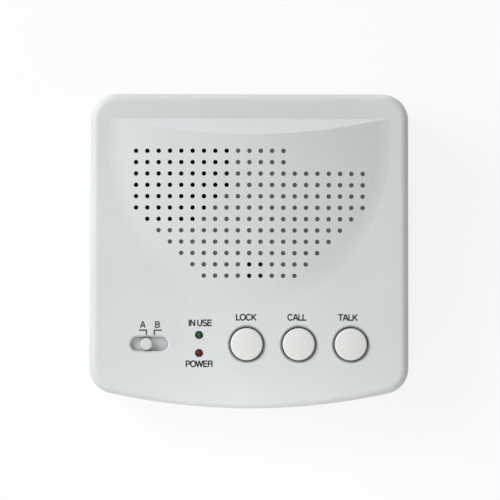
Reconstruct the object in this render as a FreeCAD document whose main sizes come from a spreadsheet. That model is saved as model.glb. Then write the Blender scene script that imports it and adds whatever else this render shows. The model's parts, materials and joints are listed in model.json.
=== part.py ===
import FreeCAD, Part
import math
import os
from types import SimpleNamespace

import Sketcher
from FreeCAD import Placement, Rotation, Vector

# A desk intercom: a low wedge of two moulded shells on rubber feet. The face carries a raised
# mound with the sound holes, three push buttons, a channel selector and two lamps.
#
# Frame: +Z up, the user sits on the -Y side, X to the user's right. The origin is in the middle
# of the footprint, on the table. The upper pieces are drawn in the face frame: x across, y along
# the face towards the rear, z square to the face and zero on the parting plane of the shells.

# Driving dimensions, in millimetres and degrees
SIZES = {
    # Outline of the shells, seen square to the face
    "depth": 139.1,
    "rear_width": 140.4,
    "front_width": 141.3,
    "corner_radius": 11.5,
    "bow_radius": 284.5,
    # Wedge
    "face_tilt": 6.0,
    "front_height": 12.5,
    "foot_proud": 2.0,
    # Upper shell
    "top_height": 18.0,
    "edge_round": 3.5,
    "side_wall": 2.4,
    "panel_wall": 2.2,
    # Lower shell
    "seam_gap": 0.5,
    "base_inset": 0.7,
    "base_wall": 2.4,
    "base_floor": 2.4,
    "base_round": 2.0,
    "lip_gap": 0.15,
    "lip_wall": 1.4,
    "lip_height": 1.8,
    "lip_depth": 4.0,
    # Mound over the speaker, cut off at the rear by a sloping wall
    "mound_height": 6.3,
    "mound_side_margin": 10.2,
    "mound_half_length": 72.9,
    "mound_margin": 19.55,
    "mound_blend": 32.0,
    "mound_sink": 0.02,
    "crease_margin": 10.95,
    "crease_run": 7.07,
    # Sound holes
    "grille_pitch": 5.0,
    "grille_hole": 1.0,
    "grille_margin": 25.3,
    "dimple_depth": 1.35,
    "sound_field": 25.4,
    "voice_field": 4.0,
    # Controls on the front half of the face
    "control_margin": 28.55,
    "button_margin": 25.65,
    "button_radius": 7.1,
    "button_gap": 0.45,
    "button_proud": 1.4,
    "button_wall": 1.2,
    "button_roof": 1.8,
    "button_round": 0.8,
    "button_crown": 45.0,
    "button_travel": 2.5,
    "rim_chamfer": 0.95,
    "flange_width": 1.1,
    "flange_thick": 1.2,
    "flange_gap": 0.2,
    "collar_wall": 1.0,
    "collar_spare": 1.4,
    "socket_radius": 2.4,
    "plunger_radius": 1.3,
    "plunger_fit": 0.05,
    "plunger_gap": 0.2,
    "plunger_length": 9.0,
    "socket_stop": 3.0,
    "socket_grip": 2.8,
    "switch_side": 8.5,
    "switch_height": 7.0,
    "switch_floor": 0.8,
    "spring_radius": 3.35,
    "spring_wire": 0.5,
    "spring_turns": 6.0,
    # Channel selector
    "selector_margin": 26.65,
    "selector_rest": 1.3,
    "selector_travel": 3.5,
    "slot_length": 16.5,
    "slot_width": 6.4,
    "slot_chamfer": 0.8,
    "knob_radius": 2.65,
    "knob_proud": 0.8,
    "knob_round": 0.7,
    "slide_length": 21.6,
    "slide_width": 9.6,
    "slide_thick": 1.2,
    "rail_wall": 1.2,
    "rail_lip": 1.2,
    "rail_gap": 0.3,
    "rail_length": 27.0,
    "lever_side": 2.0,
    "lever_fit": 0.05,
    "lever_length": 7.4,
    "lever_stop": 1.4,
    "slide_post": 4.2,
    "slide_post_depth": 3.9,
    "slide_switch_length": 13.0,
    "slide_switch_width": 6.5,
    "slide_switch_height": 6.0,
    # Lamps
    "lamp_spread": 8.0,
    "lamp_radius": 1.5,
    "lamp_gap": 0.2,
    "lamp_chamfer": 0.3,
    "lamp_proud": 0.9,
    "lamp_flange": 1.9,
    "lamp_flange_thick": 1.0,
    "spacer_radius": 2.5,
    "spacer_bore": 1.7,
    "pin_side": 0.5,
    "pin_spacing": 1.27,
    # Circuit board
    "board_margin": 16.65,
    "board_front_margin": 11.55,
    "board_clear": 1.95,
    "board_base": 0.4,
    "board_thick": 1.6,
    "board_corner": 2.0,
    "post_radius": 3.0,
    "post_side_inset": 5.0,
    "post_rear_inset": 5.0,
    "post_front_inset": 3.0,
    # Screws
    "thread_radius": 1.2,
    "thread_hole": 1.25,
    "thread_length": 8.0,
    "clear_hole": 1.6,
    "head_radius": 2.6,
    "head_height": 1.8,
    "cross_width": 0.8,
    "cross_length": 3.0,
    "cross_depth": 1.0,
    "boss_radius": 3.6,
    "boss_side_margin": 11.2,
    "boss_rear_margin": 11.55,
    "boss_front_margin": 18.55,
    "tube_radius": 4.2,
    "sink_radius": 3.3,
    "sink_roof": 3.0,
    # Speaker
    "speaker_side_margin": 36.2,
    "speaker_rear_margin": 33.3,
    "speaker_radius": 28.5,
    "seat_radius": 26.6,
    "seat_base": 14.8,
    "ring_gap": 0.3,
    "ring_wall": 1.5,
    "gasket_thick": 0.8,
    "basket_sheet": 0.8,
    "basket_mouth": 25.0,
    "basket_waist": 12.0,
    "basket_depth": 12.5,
    "surround_width": 2.8,
    "surround_rise": 0.9,
    "cone_paper": 0.5,
    "cone_depth": 7.0,
    "coil_radius": 7.0,
    "coil_wall": 0.4,
    "coil_gap": 0.4,
    "coil_reach": 1.3,
    "dome_rise": 2.4,
    "plate_radius": 13.5,
    "plate_thick": 1.6,
    "magnet_radius": 16.0,
    "magnet_bore": 9.0,
    "magnet_thick": 6.0,
    "yoke_radius": 14.5,
    "yoke_thick": 1.8,
    "clamp_reach": 31.2,
    "clamp_radius": 3.2,
    "clamp_thick": 0.8,
    "clamp_boss": 2.6,
    "clamp_thread": 3.0,
    # Microphone
    "capsule_radius": 3.0,
    "capsule_height": 5.0,
    "boot_radius": 5.0,
    "boot_height": 6.0,
    "boot_top": 16.7,
    "boot_roof": 0.8,
    "cup_gap": 0.1,
    "cup_wall": 1.1,
    "cup_depth": 5.2,
    # Rubber feet
    "foot_radius": 5.5,
    "foot_recess": 1.0,
    "foot_fit": 0.1,
    "foot_round": 0.6,
    "foot_side_margin": 22.2,
    "foot_front_margin": 23.55,
    "foot_rear_margin": 21.55,
    # Cooling slots in the floor
    "vent_width": 2.0,
    "vent_length": 26.0,
    "vent_pitch": 5.0,
    "vent_count": 9,
    "vent_margin": 59.55,
    # Mains inlet in the rear wall
    "inlet_place": 6.0,
    "inlet_width": 20.0,
    "inlet_height": 12.0,
    "inlet_depth": 17.0,
    "inlet_fit": 0.15,
    "inlet_flange": 2.0,
    "inlet_flange_thick": 1.5,
    "outlet_width": 14.4,
    "outlet_height": 8.4,
    "outlet_depth": 12.0,
    "prong_radius": 1.2,
    "prong_fit": 0.05,
    "prong_spread": 4.3,
    "prong_shy": 2.0,
    "prong_tail": 4.0,
    # Mains transformer
    "core_side_margin": 34.2,
    "core_rear_margin": 29.55,
    "core_width": 35.0,
    "core_stack": 15.0,
    "core_clear": 1.28,
    "core_limb": 5.85,
    "plinth_height": 3.0,
    "plinth_radius": 4.0,
    "winding_clear": 0.2,
    "winding_build": 5.2,
    "strap_thick": 1.2,
    "strap_width": 12.0,
    "strap_foot": 8.0,
    # Pieces on the circuit board
    "can_side": 7.5,
    "can_height": 9.0,
    "can_slug": 1.6,
    "can_slug_depth": 1.0,
    "tank_radius": 4.0,
    "tank_height": 11.0,
    "tank_groove": 0.4,
    "film_length": 12.0,
    "film_width": 5.0,
    "film_height": 9.0,
    "chip_length": 19.3,
    "chip_width": 6.4,
    "chip_height": 3.3,
    "chip_lift": 0.5,
    "chip_pitch": 2.54,
    "chip_leg": 0.5,
    "chip_leg_spread": 7.6,
    "axial_wire": 0.3,
    "axial_lift": 1.8,
    "resistor_radius": 1.15,
    "resistor_length": 6.3,
    "resistor_reach": 4.6,
    "resistor_pitch": 5.0,
    "resistor_count": 8,
    "diode_radius": 1.35,
    "diode_length": 5.2,
    "diode_reach": 4.3,
    "diode_count": 4,
    "fuse_radius": 2.5,
    "fuse_cap": 2.6,
    "fuse_cap_length": 5.0,
    "fuse_length": 20.0,
    "fuse_lift": 3.6,
    "clip_thick": 0.5,
    "clip_width": 4.0,
    "clip_fit": 0.15,
    "header_length": 7.5,
    "header_width": 5.6,
    "header_height": 7.0,
    "lead_radius": 0.6,
    "lead_spacing": 2.54,
    # How far a cutting shape runs past the face that it opens
    "overrun": 1.0,
}

# Columns of sound holes in each row, from the rear: first and last, counted from the left
GRILLE_ROWS = [(1, 14)] * 2 + [(1, 21)] * 4 + [(2, 20), (3, 19), (4, 18), (5, 17), (6, 16), (7, 15)]
GRILLE_MIDDLE_COLUMN = 11
# The microphone's place in pitches: across from the middle column, and forward from the rear row
VOICE_SHARES = (0.5, 10.5)

# Places of the lamps and buttons: shares of the way from the selector to the last button
LAMP_SHARE = 0.2472
BUTTON_SHARES = {"lock": 0.4831, "call": 0.7416, "talk": 1.0}

# Places on the circuit board: shares of its half width, and of its depth from the rear edge
CAN_SHARES = [(-0.74, 0.35), (-0.52, 0.35), (-0.30, 0.35)]
TANK_SHARES = [(0.41, 0.39), (0.59, 0.39), (0.77, 0.39)]
FILM_SHARES = (0.28, 0.16)
CHIP_SHARES = (-0.03, 0.46)
RESISTOR_SHARES = (-0.81, 0.19)
DIODE_SHARES = (0.41, 0.545)
FUSE_SHARES = (0.62, 0.17)
HEADER_SHARES = [-0.62, 0.05, 0.33, 0.66]

# Routes of the loose leads inside, chosen by hand, in the face frame
SPEAKER_ROUTE = [(-33.5, 1.2, 9.0), (-33.5, 1.2, 11.0), (-33.7, 6.0, 10.4), (-34.0, 11.5, 7.6),
                 (-34.0, 17.0, 6.2)]
VOICE_ROUTE = [(2.7, 1.2, 9.0), (2.7, 1.2, 10.4), (2.6, -2.4, 9.4), (2.5, -7.0, 8.4), (2.5, -8.25, 9.2),
               (2.5, -8.25, 10.7)]
MAINS_ROUTE = [(17.8, 1.2, 9.0), (17.8, 1.2, 11.4), (15.0, 8.0, 9.0), (8.0, 22.0, 0.0), (-2.0, 34.0, -9.0),
               (-6.0, 41.5, -13.0), (-6.0, 47.85, -13.0)]
TRANSFORMER_ROUTE = [(35.6, 1.2, 9.0), (35.6, 1.2, 11.2), (35.8, 9.0, 9.0), (36.0, 19.0, 1.5),
                     (36.0, 26.9, -0.6)]
# How much of a run each bend of a lead may take, as a share
BEND_SHARE = 0.45

doc = FreeCAD.newDocument("desk_intercom")
sheet = doc.addObject("Spreadsheet::Sheet", "sizes")
nodes = []


class Size:
    """A number together with the spreadsheet formula that gives it."""

    def __init__(self, value, formula):
        self.value = value
        self.formula = formula

    def joined(self, other, sign, value):
        return Size(value, f"({self.formula} {sign} {as_size(other).formula})")

    def __add__(self, other):
        return self.joined(other, "+", self.value + as_size(other).value)

    def __sub__(self, other):
        return self.joined(other, "-", self.value - as_size(other).value)

    def __mul__(self, other):
        return self.joined(other, "*", self.value * as_size(other).value)

    def __truediv__(self, other):
        return self.joined(other, "/", self.value / as_size(other).value)

    def __radd__(self, other):
        return as_size(other) + self

    def __rsub__(self, other):
        return as_size(other) - self

    def __rmul__(self, other):
        return as_size(other) * self

    def __neg__(self):
        return 0 - self


def as_size(number):
    """A plain number as a Size."""
    if isinstance(number, Size):
        return number
    return Size(float(number), f"({number:.10g})")


def root(size):
    return Size(math.sqrt(size.value), f"sqrt({size.formula})")


def sine(angle):
    return Size(math.sin(math.radians(angle.value)), f"sin({angle.formula})")


def cosine(angle):
    return Size(math.cos(math.radians(angle.value)), f"cos({angle.formula})")


def filled_sheet():
    """Writes the driving dimensions into the sheet and reads them back as Sizes."""
    for row, (name, value) in enumerate(SIZES.items(), 1):
        sheet.set(f"A{row}", name)
        sheet.set(f"B{row}", str(value))
        sheet.setAlias(f"B{row}", name)
    doc.recompute()
    return SimpleNamespace(**{name: Size(float(sheet.get(name)), f"sizes.{name}") for name in SIZES})


def table_level(height, y):
    """Where a plane at a height above the table lies in the face frame."""
    return (height - LIFT - y * sine(S.face_tilt)) / cosine(S.face_tilt)


def above_table(y, z):
    """Height above the table of a place in the face frame."""
    return LIFT + y * sine(S.face_tilt) + z * cosine(S.face_tilt)


def centring_shift():
    """How far the face frame moves in y so that the footprint's middle is at the origin."""
    sin, cos = sine(S.face_tilt), cosine(S.face_tilt)
    front = (S.depth / 2 - S.edge_round) * cos + (S.top_height - S.edge_round) * sin + S.edge_round
    heel = REAR_FACE - S.base_round
    rear = heel * cos - table_level(S.foot_proud + S.base_round, heel) * sin + S.base_round
    return (front - rear) / 2


S = filled_sheet()

# Heights in the face frame, and of the face frame above the table
LIFT = S.front_height + S.depth / 2 * sine(S.face_tilt)
FACE = S.top_height
UNDERSIDE = S.top_height - S.panel_wall
INSIDE_TOP = S.top_height + S.mound_height
BOARD_TOP = S.board_base + S.board_thick
BASE_DEPTH = LIFT + S.depth
REAR_FACE = S.depth / 2 - S.base_inset
SHIFT = centring_shift()

# Places in the face frame, measured from the edges of the outline
HALF_DEPTH = S.depth / 2
HALF_WIDTH = S.rear_width / 2
HALF_FRONT = S.front_width / 2
MOUND_HALF_WIDTH = HALF_WIDTH - S.mound_side_margin
MOUND_LINE = HALF_DEPTH - S.mound_margin
CREASE_LINE = HALF_DEPTH - S.crease_margin
GRILLE_REAR = HALF_DEPTH - S.grille_margin
CONTROL_LINE = S.control_margin - HALF_DEPTH
SELECTOR_X = S.selector_margin - HALF_FRONT
CONTROL_SPAN = HALF_FRONT - S.button_margin - SELECTOR_X
LAMP_X = SELECTOR_X + LAMP_SHARE * CONTROL_SPAN
BUTTONS = {name: SELECTOR_X + share * CONTROL_SPAN for name, share in BUTTON_SHARES.items()}
SPEAKER_X = S.speaker_side_margin - HALF_WIDTH
SPEAKER_Y = HALF_DEPTH - S.speaker_rear_margin
SPEAKER = (SPEAKER_X, SPEAKER_Y, 0)
VOICE_X = VOICE_SHARES[0] * S.grille_pitch
VOICE_Y = GRILLE_REAR - VOICE_SHARES[1] * S.grille_pitch
BOARD_SIDE = HALF_FRONT - S.board_margin
BOARD_FRONT = S.board_front_margin - HALF_DEPTH
BOARD_REAR = SPEAKER_Y - S.speaker_radius - S.ring_gap - S.ring_wall - S.board_clear
BOSS_PLACES = [(side * (HALF_WIDTH - S.boss_side_margin), y) for side in (-1, 1)
               for y in (S.boss_front_margin - HALF_DEPTH, HALF_DEPTH - S.boss_rear_margin)]
POST_PLACES = [(side * (BOARD_SIDE - S.post_side_inset), y)
               for y in (BOARD_REAR - S.post_rear_inset, BOARD_FRONT + S.post_front_inset) for side in (-1, 1)]
CORE_X = HALF_WIDTH - S.core_side_margin
CORE_Y = HALF_DEPTH - S.core_rear_margin


def bind(thing, **sizes):
    """Sets properties of an object and ties each to its spreadsheet formula."""
    for name, size in sizes.items():
        size = as_size(size)
        setattr(thing, name, size.value)
        if "sizes." in size.formula:
            thing.setExpression(name, size.formula)


def put(thing, place, turn=None):
    """Places an object by three sizes, with an optional fixed rotation."""
    sizes = [as_size(size) for size in place]
    thing.Placement = Placement(Vector(*[size.value for size in sizes]), turn or Rotation())
    for axis, size in zip("xyz", sizes):
        if "sizes." in size.formula:
            thing.setExpression(f"Placement.Base.{axis}", size.formula)
    return thing


TURNS = {
    "x": Rotation(Vector(0, 1, 0), 90),
    "y": Rotation(Vector(1, 0, 0), -90),
    "z": Rotation(),
}


def box(name, low, size):
    """A box from its lowest corner and its three lengths."""
    thing = doc.addObject("Part::Box", name)
    bind(thing, Length=size[0], Width=size[1], Height=size[2])
    return put(thing, low)


def block(name, centre, size):
    """A box centred in x and y that stands on the given height."""
    low = (centre[0] - as_size(size[0]) / 2, centre[1] - as_size(size[1]) / 2, centre[2])
    return box(name, low, size)


def rod(name, start, radius, length, along="z"):
    thing = doc.addObject("Part::Cylinder", name)
    bind(thing, Radius=radius, Height=length)
    return put(thing, start, TURNS[along])


def taper(name, start, first_radius, last_radius, length):
    thing = doc.addObject("Part::Cone", name)
    bind(thing, Radius1=first_radius, Radius2=last_radius, Height=length)
    return put(thing, start)


def fused(name, pieces):
    thing = doc.addObject("Part::MultiFuse", name)
    thing.Shapes = pieces
    thing.Refine = True
    return thing


def cut(name, base, tools):
    """The base without the tools."""
    thing = doc.addObject("Part::Cut", name)
    thing.Base = base
    thing.Tool = tools[0] if len(tools) == 1 else together(f"{name}_tools", tools)
    return thing


def together(name, pieces):
    thing = doc.addObject("Part::Compound", name)
    thing.Links = pieces
    return thing


def tube(name, start, outer, inner, length):
    """A round tube standing on the start point."""
    low = (start[0], start[1], start[2] - S.overrun)
    bore = rod(f"{name}_bore", low, inner, length + 2 * S.overrun)
    return cut(name, rod(f"{name}_body", start, outer, length), [bore])


def node(label, thing, tilted=True, place=(0, 0, 0)):
    """Names a finished sub-part and sets it in the face frame or on the table's frame."""
    thing.Label = label
    x, y, z = [as_size(size) for size in place]
    if tilted:
        sin, cos = sine(S.face_tilt), cosine(S.face_tilt)
        spot = (x, y * cos - z * sin + SHIFT, LIFT + y * sin + z * cos)
        where = "; ".join(size.formula for size in spot)
        turn = f"rotation(vector(1; 0; 0); {S.face_tilt.formula})"
        thing.setExpression("Placement", f"placement(vector({where}); {turn})")
    else:
        put(thing, place)
    nodes.append(thing)
    return thing


def arc_between(start, end, radius):
    """A circular arc from start to end; a positive radius bulges to the right of the way."""
    chord = end - start
    half = chord.Length / 2
    side = Vector(chord.y, -chord.x, 0).normalize()
    rise = math.sqrt(max(radius * radius - half * half, 0))
    sign = 1 if radius > 0 else -1
    centre = (start + end) / 2 - side * rise * sign
    top = centre + side * abs(radius) * sign
    return Part.Arc(start, top, end)


def outline_sketch(body, name, points, plane="XY_Plane", offset=0):
    """A closed outline of lines and arcs, every corner held by its own two sizes.

    A point is (x, y), or (x, y, radius) where an arc of that radius leads to the next point.
    """
    sketch = body.newObject("Sketcher::SketchObject", name)
    origin = [item for item in body.Origin.OriginFeatures if item.Role == plane]
    sketch.AttachmentSupport = [(origin[0], "")]
    sketch.MapMode = "FlatFace"
    offset = as_size(offset)
    sketch.AttachmentOffset = Placement(Vector(0, 0, offset.value), Rotation())
    if "sizes." in offset.formula:
        sketch.setExpression("AttachmentOffset.Base.z", offset.formula)
    corners = [(as_size(point[0]), as_size(point[1])) for point in points]
    spots = [Vector(x.value, y.value, 0) for x, y in corners]
    for index, point in enumerate(points):
        start, end = spots[index], spots[(index + 1) % len(points)]
        if len(point) == 3:
            sketch.addGeometry(arc_between(start, end, as_size(point[2]).value))
        else:
            sketch.addGeometry(Part.LineSegment(start, end))
    ends = []
    for index, spot in enumerate(spots):
        first_gap, last_gap = [sketch.getPoint(index, end).distanceToPoint(spot) for end in (1, 2)]
        ends.append((2, 1) if first_gap > last_gap else (1, 2))
    for index in range(len(points)):
        after = (index + 1) % len(points)
        meeting = Sketcher.Constraint("Coincident", index, ends[index][1], after, ends[after][0])
        sketch.addConstraint(meeting)
    for index, (x, y) in enumerate(corners):
        for kind, size in (("DistanceX", x), ("DistanceY", y)):
            held = Sketcher.Constraint(kind, -1, 1, index, ends[index][0], size.value)
            number = sketch.addConstraint(held)
            if "sizes." in size.formula:
                sketch.setExpression(f"Constraints[{number}]", size.formula)
    for index, point in enumerate(points):
        if len(point) == 3:
            radius = as_size(point[2])
            size = radius if radius.value > 0 else -radius
            number = sketch.addConstraint(Sketcher.Constraint("Radius", index, size.value))
            sketch.setExpression(f"Constraints[{number}]", size.formula)
    sketch.Visibility = False
    return sketch


def turned(name, points):
    """A body turned about its own z axis from an outline of (radius, height) points."""
    body = doc.addObject("PartDesign::Body", name)
    sketch = outline_sketch(body, f"{name}_outline", points, "XZ_Plane")
    revolution = body.newObject("PartDesign::Revolution", f"{name}_turned")
    revolution.Profile = sketch
    revolution.ReferenceAxis = (sketch, ["V_Axis"])
    revolution.Angle = 360
    doc.recompute()
    return body


def padded(name, points, bottom, length, plane="XY_Plane"):
    """A body padded from an outline."""
    body = doc.addObject("PartDesign::Body", name)
    sketch = outline_sketch(body, f"{name}_outline", points, plane, bottom)
    pad = body.newObject("PartDesign::Pad", f"{name}_pad")
    pad.Profile = sketch
    bind(pad, Length=length)
    doc.recompute()
    return body


def dressed(body, kind, size, wanted):
    """Rounds or chamfers the edges of a body that the wanted test picks."""
    base = body.Tip
    picked = [f"Edge{n}" for n, edge in enumerate(base.Shape.Edges, 1) if wanted(edge)]
    feature = body.newObject(f"PartDesign::{kind}", f"{body.Name}_{kind.lower()}")
    feature.Base = (base, picked)
    bind(feature, **{"Radius" if kind == "Fillet" else "Size": size})
    doc.recompute()
    return body


def at_height(edge, height):
    """Whether an edge lies wholly at one height."""
    box_of_edge = edge.BoundBox
    return max(abs(box_of_edge.ZMin - height), abs(box_of_edge.ZMax - height)) < 1e-4


def upright(edge):
    """Whether an edge is a straight line along z."""
    return edge.BoundBox.ZLength > 0 and edge.BoundBox.XLength + edge.BoundBox.YLength < 1e-4


def shell_outline(inset):
    """The outline of the shells moved inwards: three straight sides and a bowed front."""
    rear = S.depth / 2 - inset
    rear_half = S.rear_width / 2 - inset
    front_half = S.front_width / 2 - inset
    radius = S.bow_radius - inset
    front = S.bow_radius - S.depth / 2 - root(radius * radius - front_half * front_half)
    return [(rear_half, rear), (-rear_half, rear), (-front_half, front, radius), (front_half, front)]


def shell_prism(name, inset, bottom, top):
    """The outline as a prism with rounded corners, square to the face."""
    body = padded(name, shell_outline(inset), bottom, top - bottom)
    return dressed(body, "Fillet", S.corner_radius - inset, upright)


def mound(name, drop):
    """The oval mound, lowered by the drop: a soft foot, and a wall that cuts its rear off."""
    level = FACE - drop
    half = MOUND_HALF_WIDTH
    dome = (half * half + S.mound_height * S.mound_height) / (2 * S.mound_height)
    dome_centre = level + S.mound_height - dome
    foot = level - S.mound_sink
    foot_centre = foot + S.mound_blend
    reach = dome + S.mound_blend
    rise = foot_centre - dome_centre
    edge = root(reach * reach - rise * rise)
    joint = edge * dome / reach
    joint_height = dome_centre + rise * dome / reach
    low = level - S.overrun
    outline = [(0, low), (edge, low), (edge, foot, -S.mound_blend), (joint, joint_height, dome),
               (0, level + S.mound_height)]
    oval = doc.addObject("Part::Scale", f"{name}_oval")
    oval.Base = turned(f"{name}_round", outline)
    oval.Uniform = False
    bind(oval, YScale=S.mound_half_length / MOUND_HALF_WIDTH)
    put(oval, (0, MOUND_LINE, 0))
    slope = S.mound_height / S.crease_run
    steepness = root(1 + slope * slope)
    crease = CREASE_LINE - drop * (steepness - 1) / slope
    rear = MOUND_LINE + 2 * S.mound_half_length
    deep = level - 2 * S.overrun
    high = level + 2 * S.mound_height
    side = [(crease + 2 * S.overrun / slope, deep), (rear, deep), (rear, high),
            (crease - 2 * S.crease_run, high)]
    wall = padded(f"{name}_wall", side, -2 * half, 4 * half, "YZ_Plane")
    return cut(name, oval, [wall])


def mound_rise(x, y):
    """Height of the mound above the face at a place on it, as a plain number."""
    across = x / MOUND_HALF_WIDTH.value
    along = (y - MOUND_LINE.value) / S.mound_half_length.value
    return max(1 - across ** 2 - along ** 2, 0) * S.mound_height.value


def sound_holes():
    """The rows of sound holes: open over the speaker and the microphone, elsewhere blind."""
    pitch = S.grille_pitch.value
    speaker = Vector(SPEAKER_X.value, SPEAKER_Y.value, 0)
    voice = Vector(VOICE_X.value, VOICE_Y.value, 0)
    spare = S.overrun.value / 2
    drills = []
    for row, (first, last) in enumerate(GRILLE_ROWS):
        line = GRILLE_REAR.value - row * pitch
        for column in range(first, last + 1):
            spot = Vector((column - GRILLE_MIDDLE_COLUMN) * pitch, line, 0)
            heard = spot.distanceToPoint(speaker) < S.sound_field.value
            spoken = spot.distanceToPoint(voice) < S.voice_field.value
            surface = FACE.value + mound_rise(spot.x, spot.y)
            depth = S.panel_wall.value + spare if heard or spoken else S.dimple_depth.value
            spot.z = surface - depth
            drills.append(Part.makeCylinder(S.grille_hole.value, depth + spare, spot))
    holes = doc.addObject("Part::Feature", "sound_holes")
    holes.Shape = Part.makeCompound(drills)
    return holes


def slot_cutter():
    """The selector's opening: a slot with rounded ends and a chamfered rim."""
    half = (S.slot_length - S.slot_width) / 2
    radius = S.slot_width / 2
    low = UNDERSIDE - S.overrun
    start = FACE - S.slot_chamfer
    rise = S.slot_chamfer + S.overrun
    centre, line = SELECTOR_X, CONTROL_LINE
    pieces = [box("slot_middle", (centre - half, line - radius, low), (2 * half, 2 * radius, FACE - low))]
    for side, x in (("left", centre - half), ("right", centre + half)):
        pieces.append(rod(f"slot_{side}", (x, line, low), radius, FACE - low))
        pieces.append(taper(f"slot_rim_{side}", (x, line, start), radius, radius + rise, rise))
    rim = [(line - radius, start), (line + radius, start), (line + radius + rise, start + rise),
           (line - radius - rise, start + rise)]
    pieces.append(padded("slot_rim_middle", rim, centre - half, 2 * half, "YZ_Plane"))
    return pieces


def panel_openings():
    """Everything that is cut through the panel in front of the mound."""
    tools = slot_cutter()
    hole = S.button_radius + S.button_gap
    rim = S.rim_chamfer + S.overrun
    line = CONTROL_LINE
    low = UNDERSIDE - S.overrun
    through = S.panel_wall + S.overrun
    for name, x in BUTTONS.items():
        tools.append(rod(f"{name}_hole", (x, line, low), hole, through))
        tools.append(taper(f"{name}_rim", (x, line, FACE - S.rim_chamfer), hole, hole + rim, rim))
    hole = S.lamp_radius + S.lamp_gap
    rim = S.lamp_chamfer + S.overrun
    for name, y in lamp_places().items():
        tools.append(rod(f"{name}_hole", (LAMP_X, y, low), hole, through))
        tools.append(taper(f"{name}_rim", (LAMP_X, y, FACE - S.lamp_chamfer), hole, hole + rim, rim))
    return tools


def lamp_places():
    """Height along the face of each lamp."""
    return {
        "in_use": CONTROL_LINE + S.lamp_spread / 2,
        "power": CONTROL_LINE - S.lamp_spread / 2,
    }


def clamp_places():
    """The three clamp screws around the speaker, from its own centre."""
    places = []
    for angle in (0, 120, 240):
        across = S.clamp_reach * math.cos(math.radians(angle))
        along = S.clamp_reach * math.sin(math.radians(angle))
        places.append((across + SPEAKER_X, along + SPEAKER_Y))
    return places


SLIDE_REST = SELECTOR_X - S.selector_rest
SLIDE_MIDDLE = SLIDE_REST + S.selector_travel / 2
SLIDE_TOP = UNDERSIDE - S.flange_gap
SLIDE_BOTTOM = SLIDE_TOP - S.slide_thick
FLANGE_RADIUS = S.button_radius + S.flange_width
CLAMP_LEVEL = S.seat_base - S.gasket_thick - S.basket_sheet


def selector_rails():
    """Two rails under the panel whose lips carry the selector's slide."""
    pieces = []
    lip_top = SLIDE_BOTTOM - S.flange_gap
    inner = S.slide_width / 2 + S.rail_gap
    for side in (-1, 1):
        wall = side * (inner + S.rail_wall / 2) + CONTROL_LINE
        lip = side * (inner + S.rail_wall / 2 - S.rail_lip / 2) + CONTROL_LINE
        low = lip_top - S.rail_lip
        name = "front" if side < 0 else "rear"
        pieces.append(block(f"rail_{name}", (SLIDE_MIDDLE, wall, low),
                            (S.rail_length, S.rail_wall, INSIDE_TOP - low)))
        pieces.append(block(f"rail_lip_{name}", (SLIDE_MIDDLE, lip, low),
                            (S.rail_length, S.rail_wall + S.rail_lip, S.rail_lip)))
    return pieces


def panel_structure():
    """What is moulded on the inside of the upper shell. It all runs up into the panel."""
    pieces = selector_rails()
    for number, (x, y) in enumerate(BOSS_PLACES):
        pieces.append(rod(f"boss_{number}", (x, y, 0), S.boss_radius, INSIDE_TOP))
    for number, (x, y) in enumerate(POST_PLACES):
        pieces.append(rod(f"post_{number}", (x, y, BOARD_TOP), S.post_radius, INSIDE_TOP - BOARD_TOP))
    for number, (x, y) in enumerate(clamp_places()):
        pieces.append(rod(f"clamp_boss_{number}", (x, y, CLAMP_LEVEL), S.clamp_boss,
                          INSIDE_TOP - CLAMP_LEVEL))
    inner = S.speaker_radius + S.ring_gap
    pieces.append(tube("seat_ring", (SPEAKER_X, SPEAKER_Y, S.seat_base), inner + S.ring_wall, S.seat_radius,
                       INSIDE_TOP - S.seat_base))
    pieces.append(tube("speaker_ring", (SPEAKER_X, SPEAKER_Y, CLAMP_LEVEL), inner + S.ring_wall, inner,
                       INSIDE_TOP - CLAMP_LEVEL))
    for name, x in BUTTONS.items():
        inner = FLANGE_RADIUS + S.ring_gap
        low = SLIDE_TOP - S.flange_thick - S.button_travel - S.collar_spare
        pieces.append(tube(f"{name}_collar", (x, CONTROL_LINE, low), inner + S.collar_wall, inner,
                           INSIDE_TOP - low))
    inner = S.boot_radius + S.cup_gap
    low = S.boot_top - S.cup_depth
    pieces.append(tube("voice_cup", (VOICE_X, VOICE_Y, low), inner + S.cup_wall, inner,
                       INSIDE_TOP - low))
    return pieces


def thread_holes():
    """Screw holes from below in the bosses, the board's posts and the clamp bosses."""
    holes = []
    places = [(x, y, as_size(0), S.thread_length) for x, y in BOSS_PLACES]
    places += [(x, y, BOARD_TOP, S.thread_length) for x, y in POST_PLACES]
    places += [(x, y, CLAMP_LEVEL, S.clamp_thread) for x, y in clamp_places()]
    for number, (x, y, low, length) in enumerate(places):
        start = (x, y, low - S.overrun / 2)
        holes.append(rod(f"thread_hole_{number}", start, S.thread_hole, length + S.overrun))
    return holes


def upper_shell():
    """The upper shell: a rounded block with the mound, hollowed around its bosses."""
    face_block = shell_prism("face_block", as_size(0), as_size(0), FACE)
    dressed(face_block, "Fillet", S.edge_round, lambda edge: at_height(edge, FACE.value))
    skin = fused("skin", [face_block, mound("mound", as_size(0))])
    inside_block = shell_prism("inside_block", S.side_wall, -S.overrun, UNDERSIDE)
    dressed(inside_block, "Fillet", S.edge_round - S.panel_wall,
            lambda edge: at_height(edge, UNDERSIDE.value))
    hollow = fused("hollow", [inside_block, mound("mound_hollow", S.panel_wall)])
    room = cut("room", hollow, [fused("panel_structure", panel_structure())])
    shell = cut("upper_shell", skin, [room])
    drilled = cut("drilled_shell", shell, panel_openings() + thread_holes())
    node("top_case", cut("top_shell", drilled, [sound_holes()]))


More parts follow.
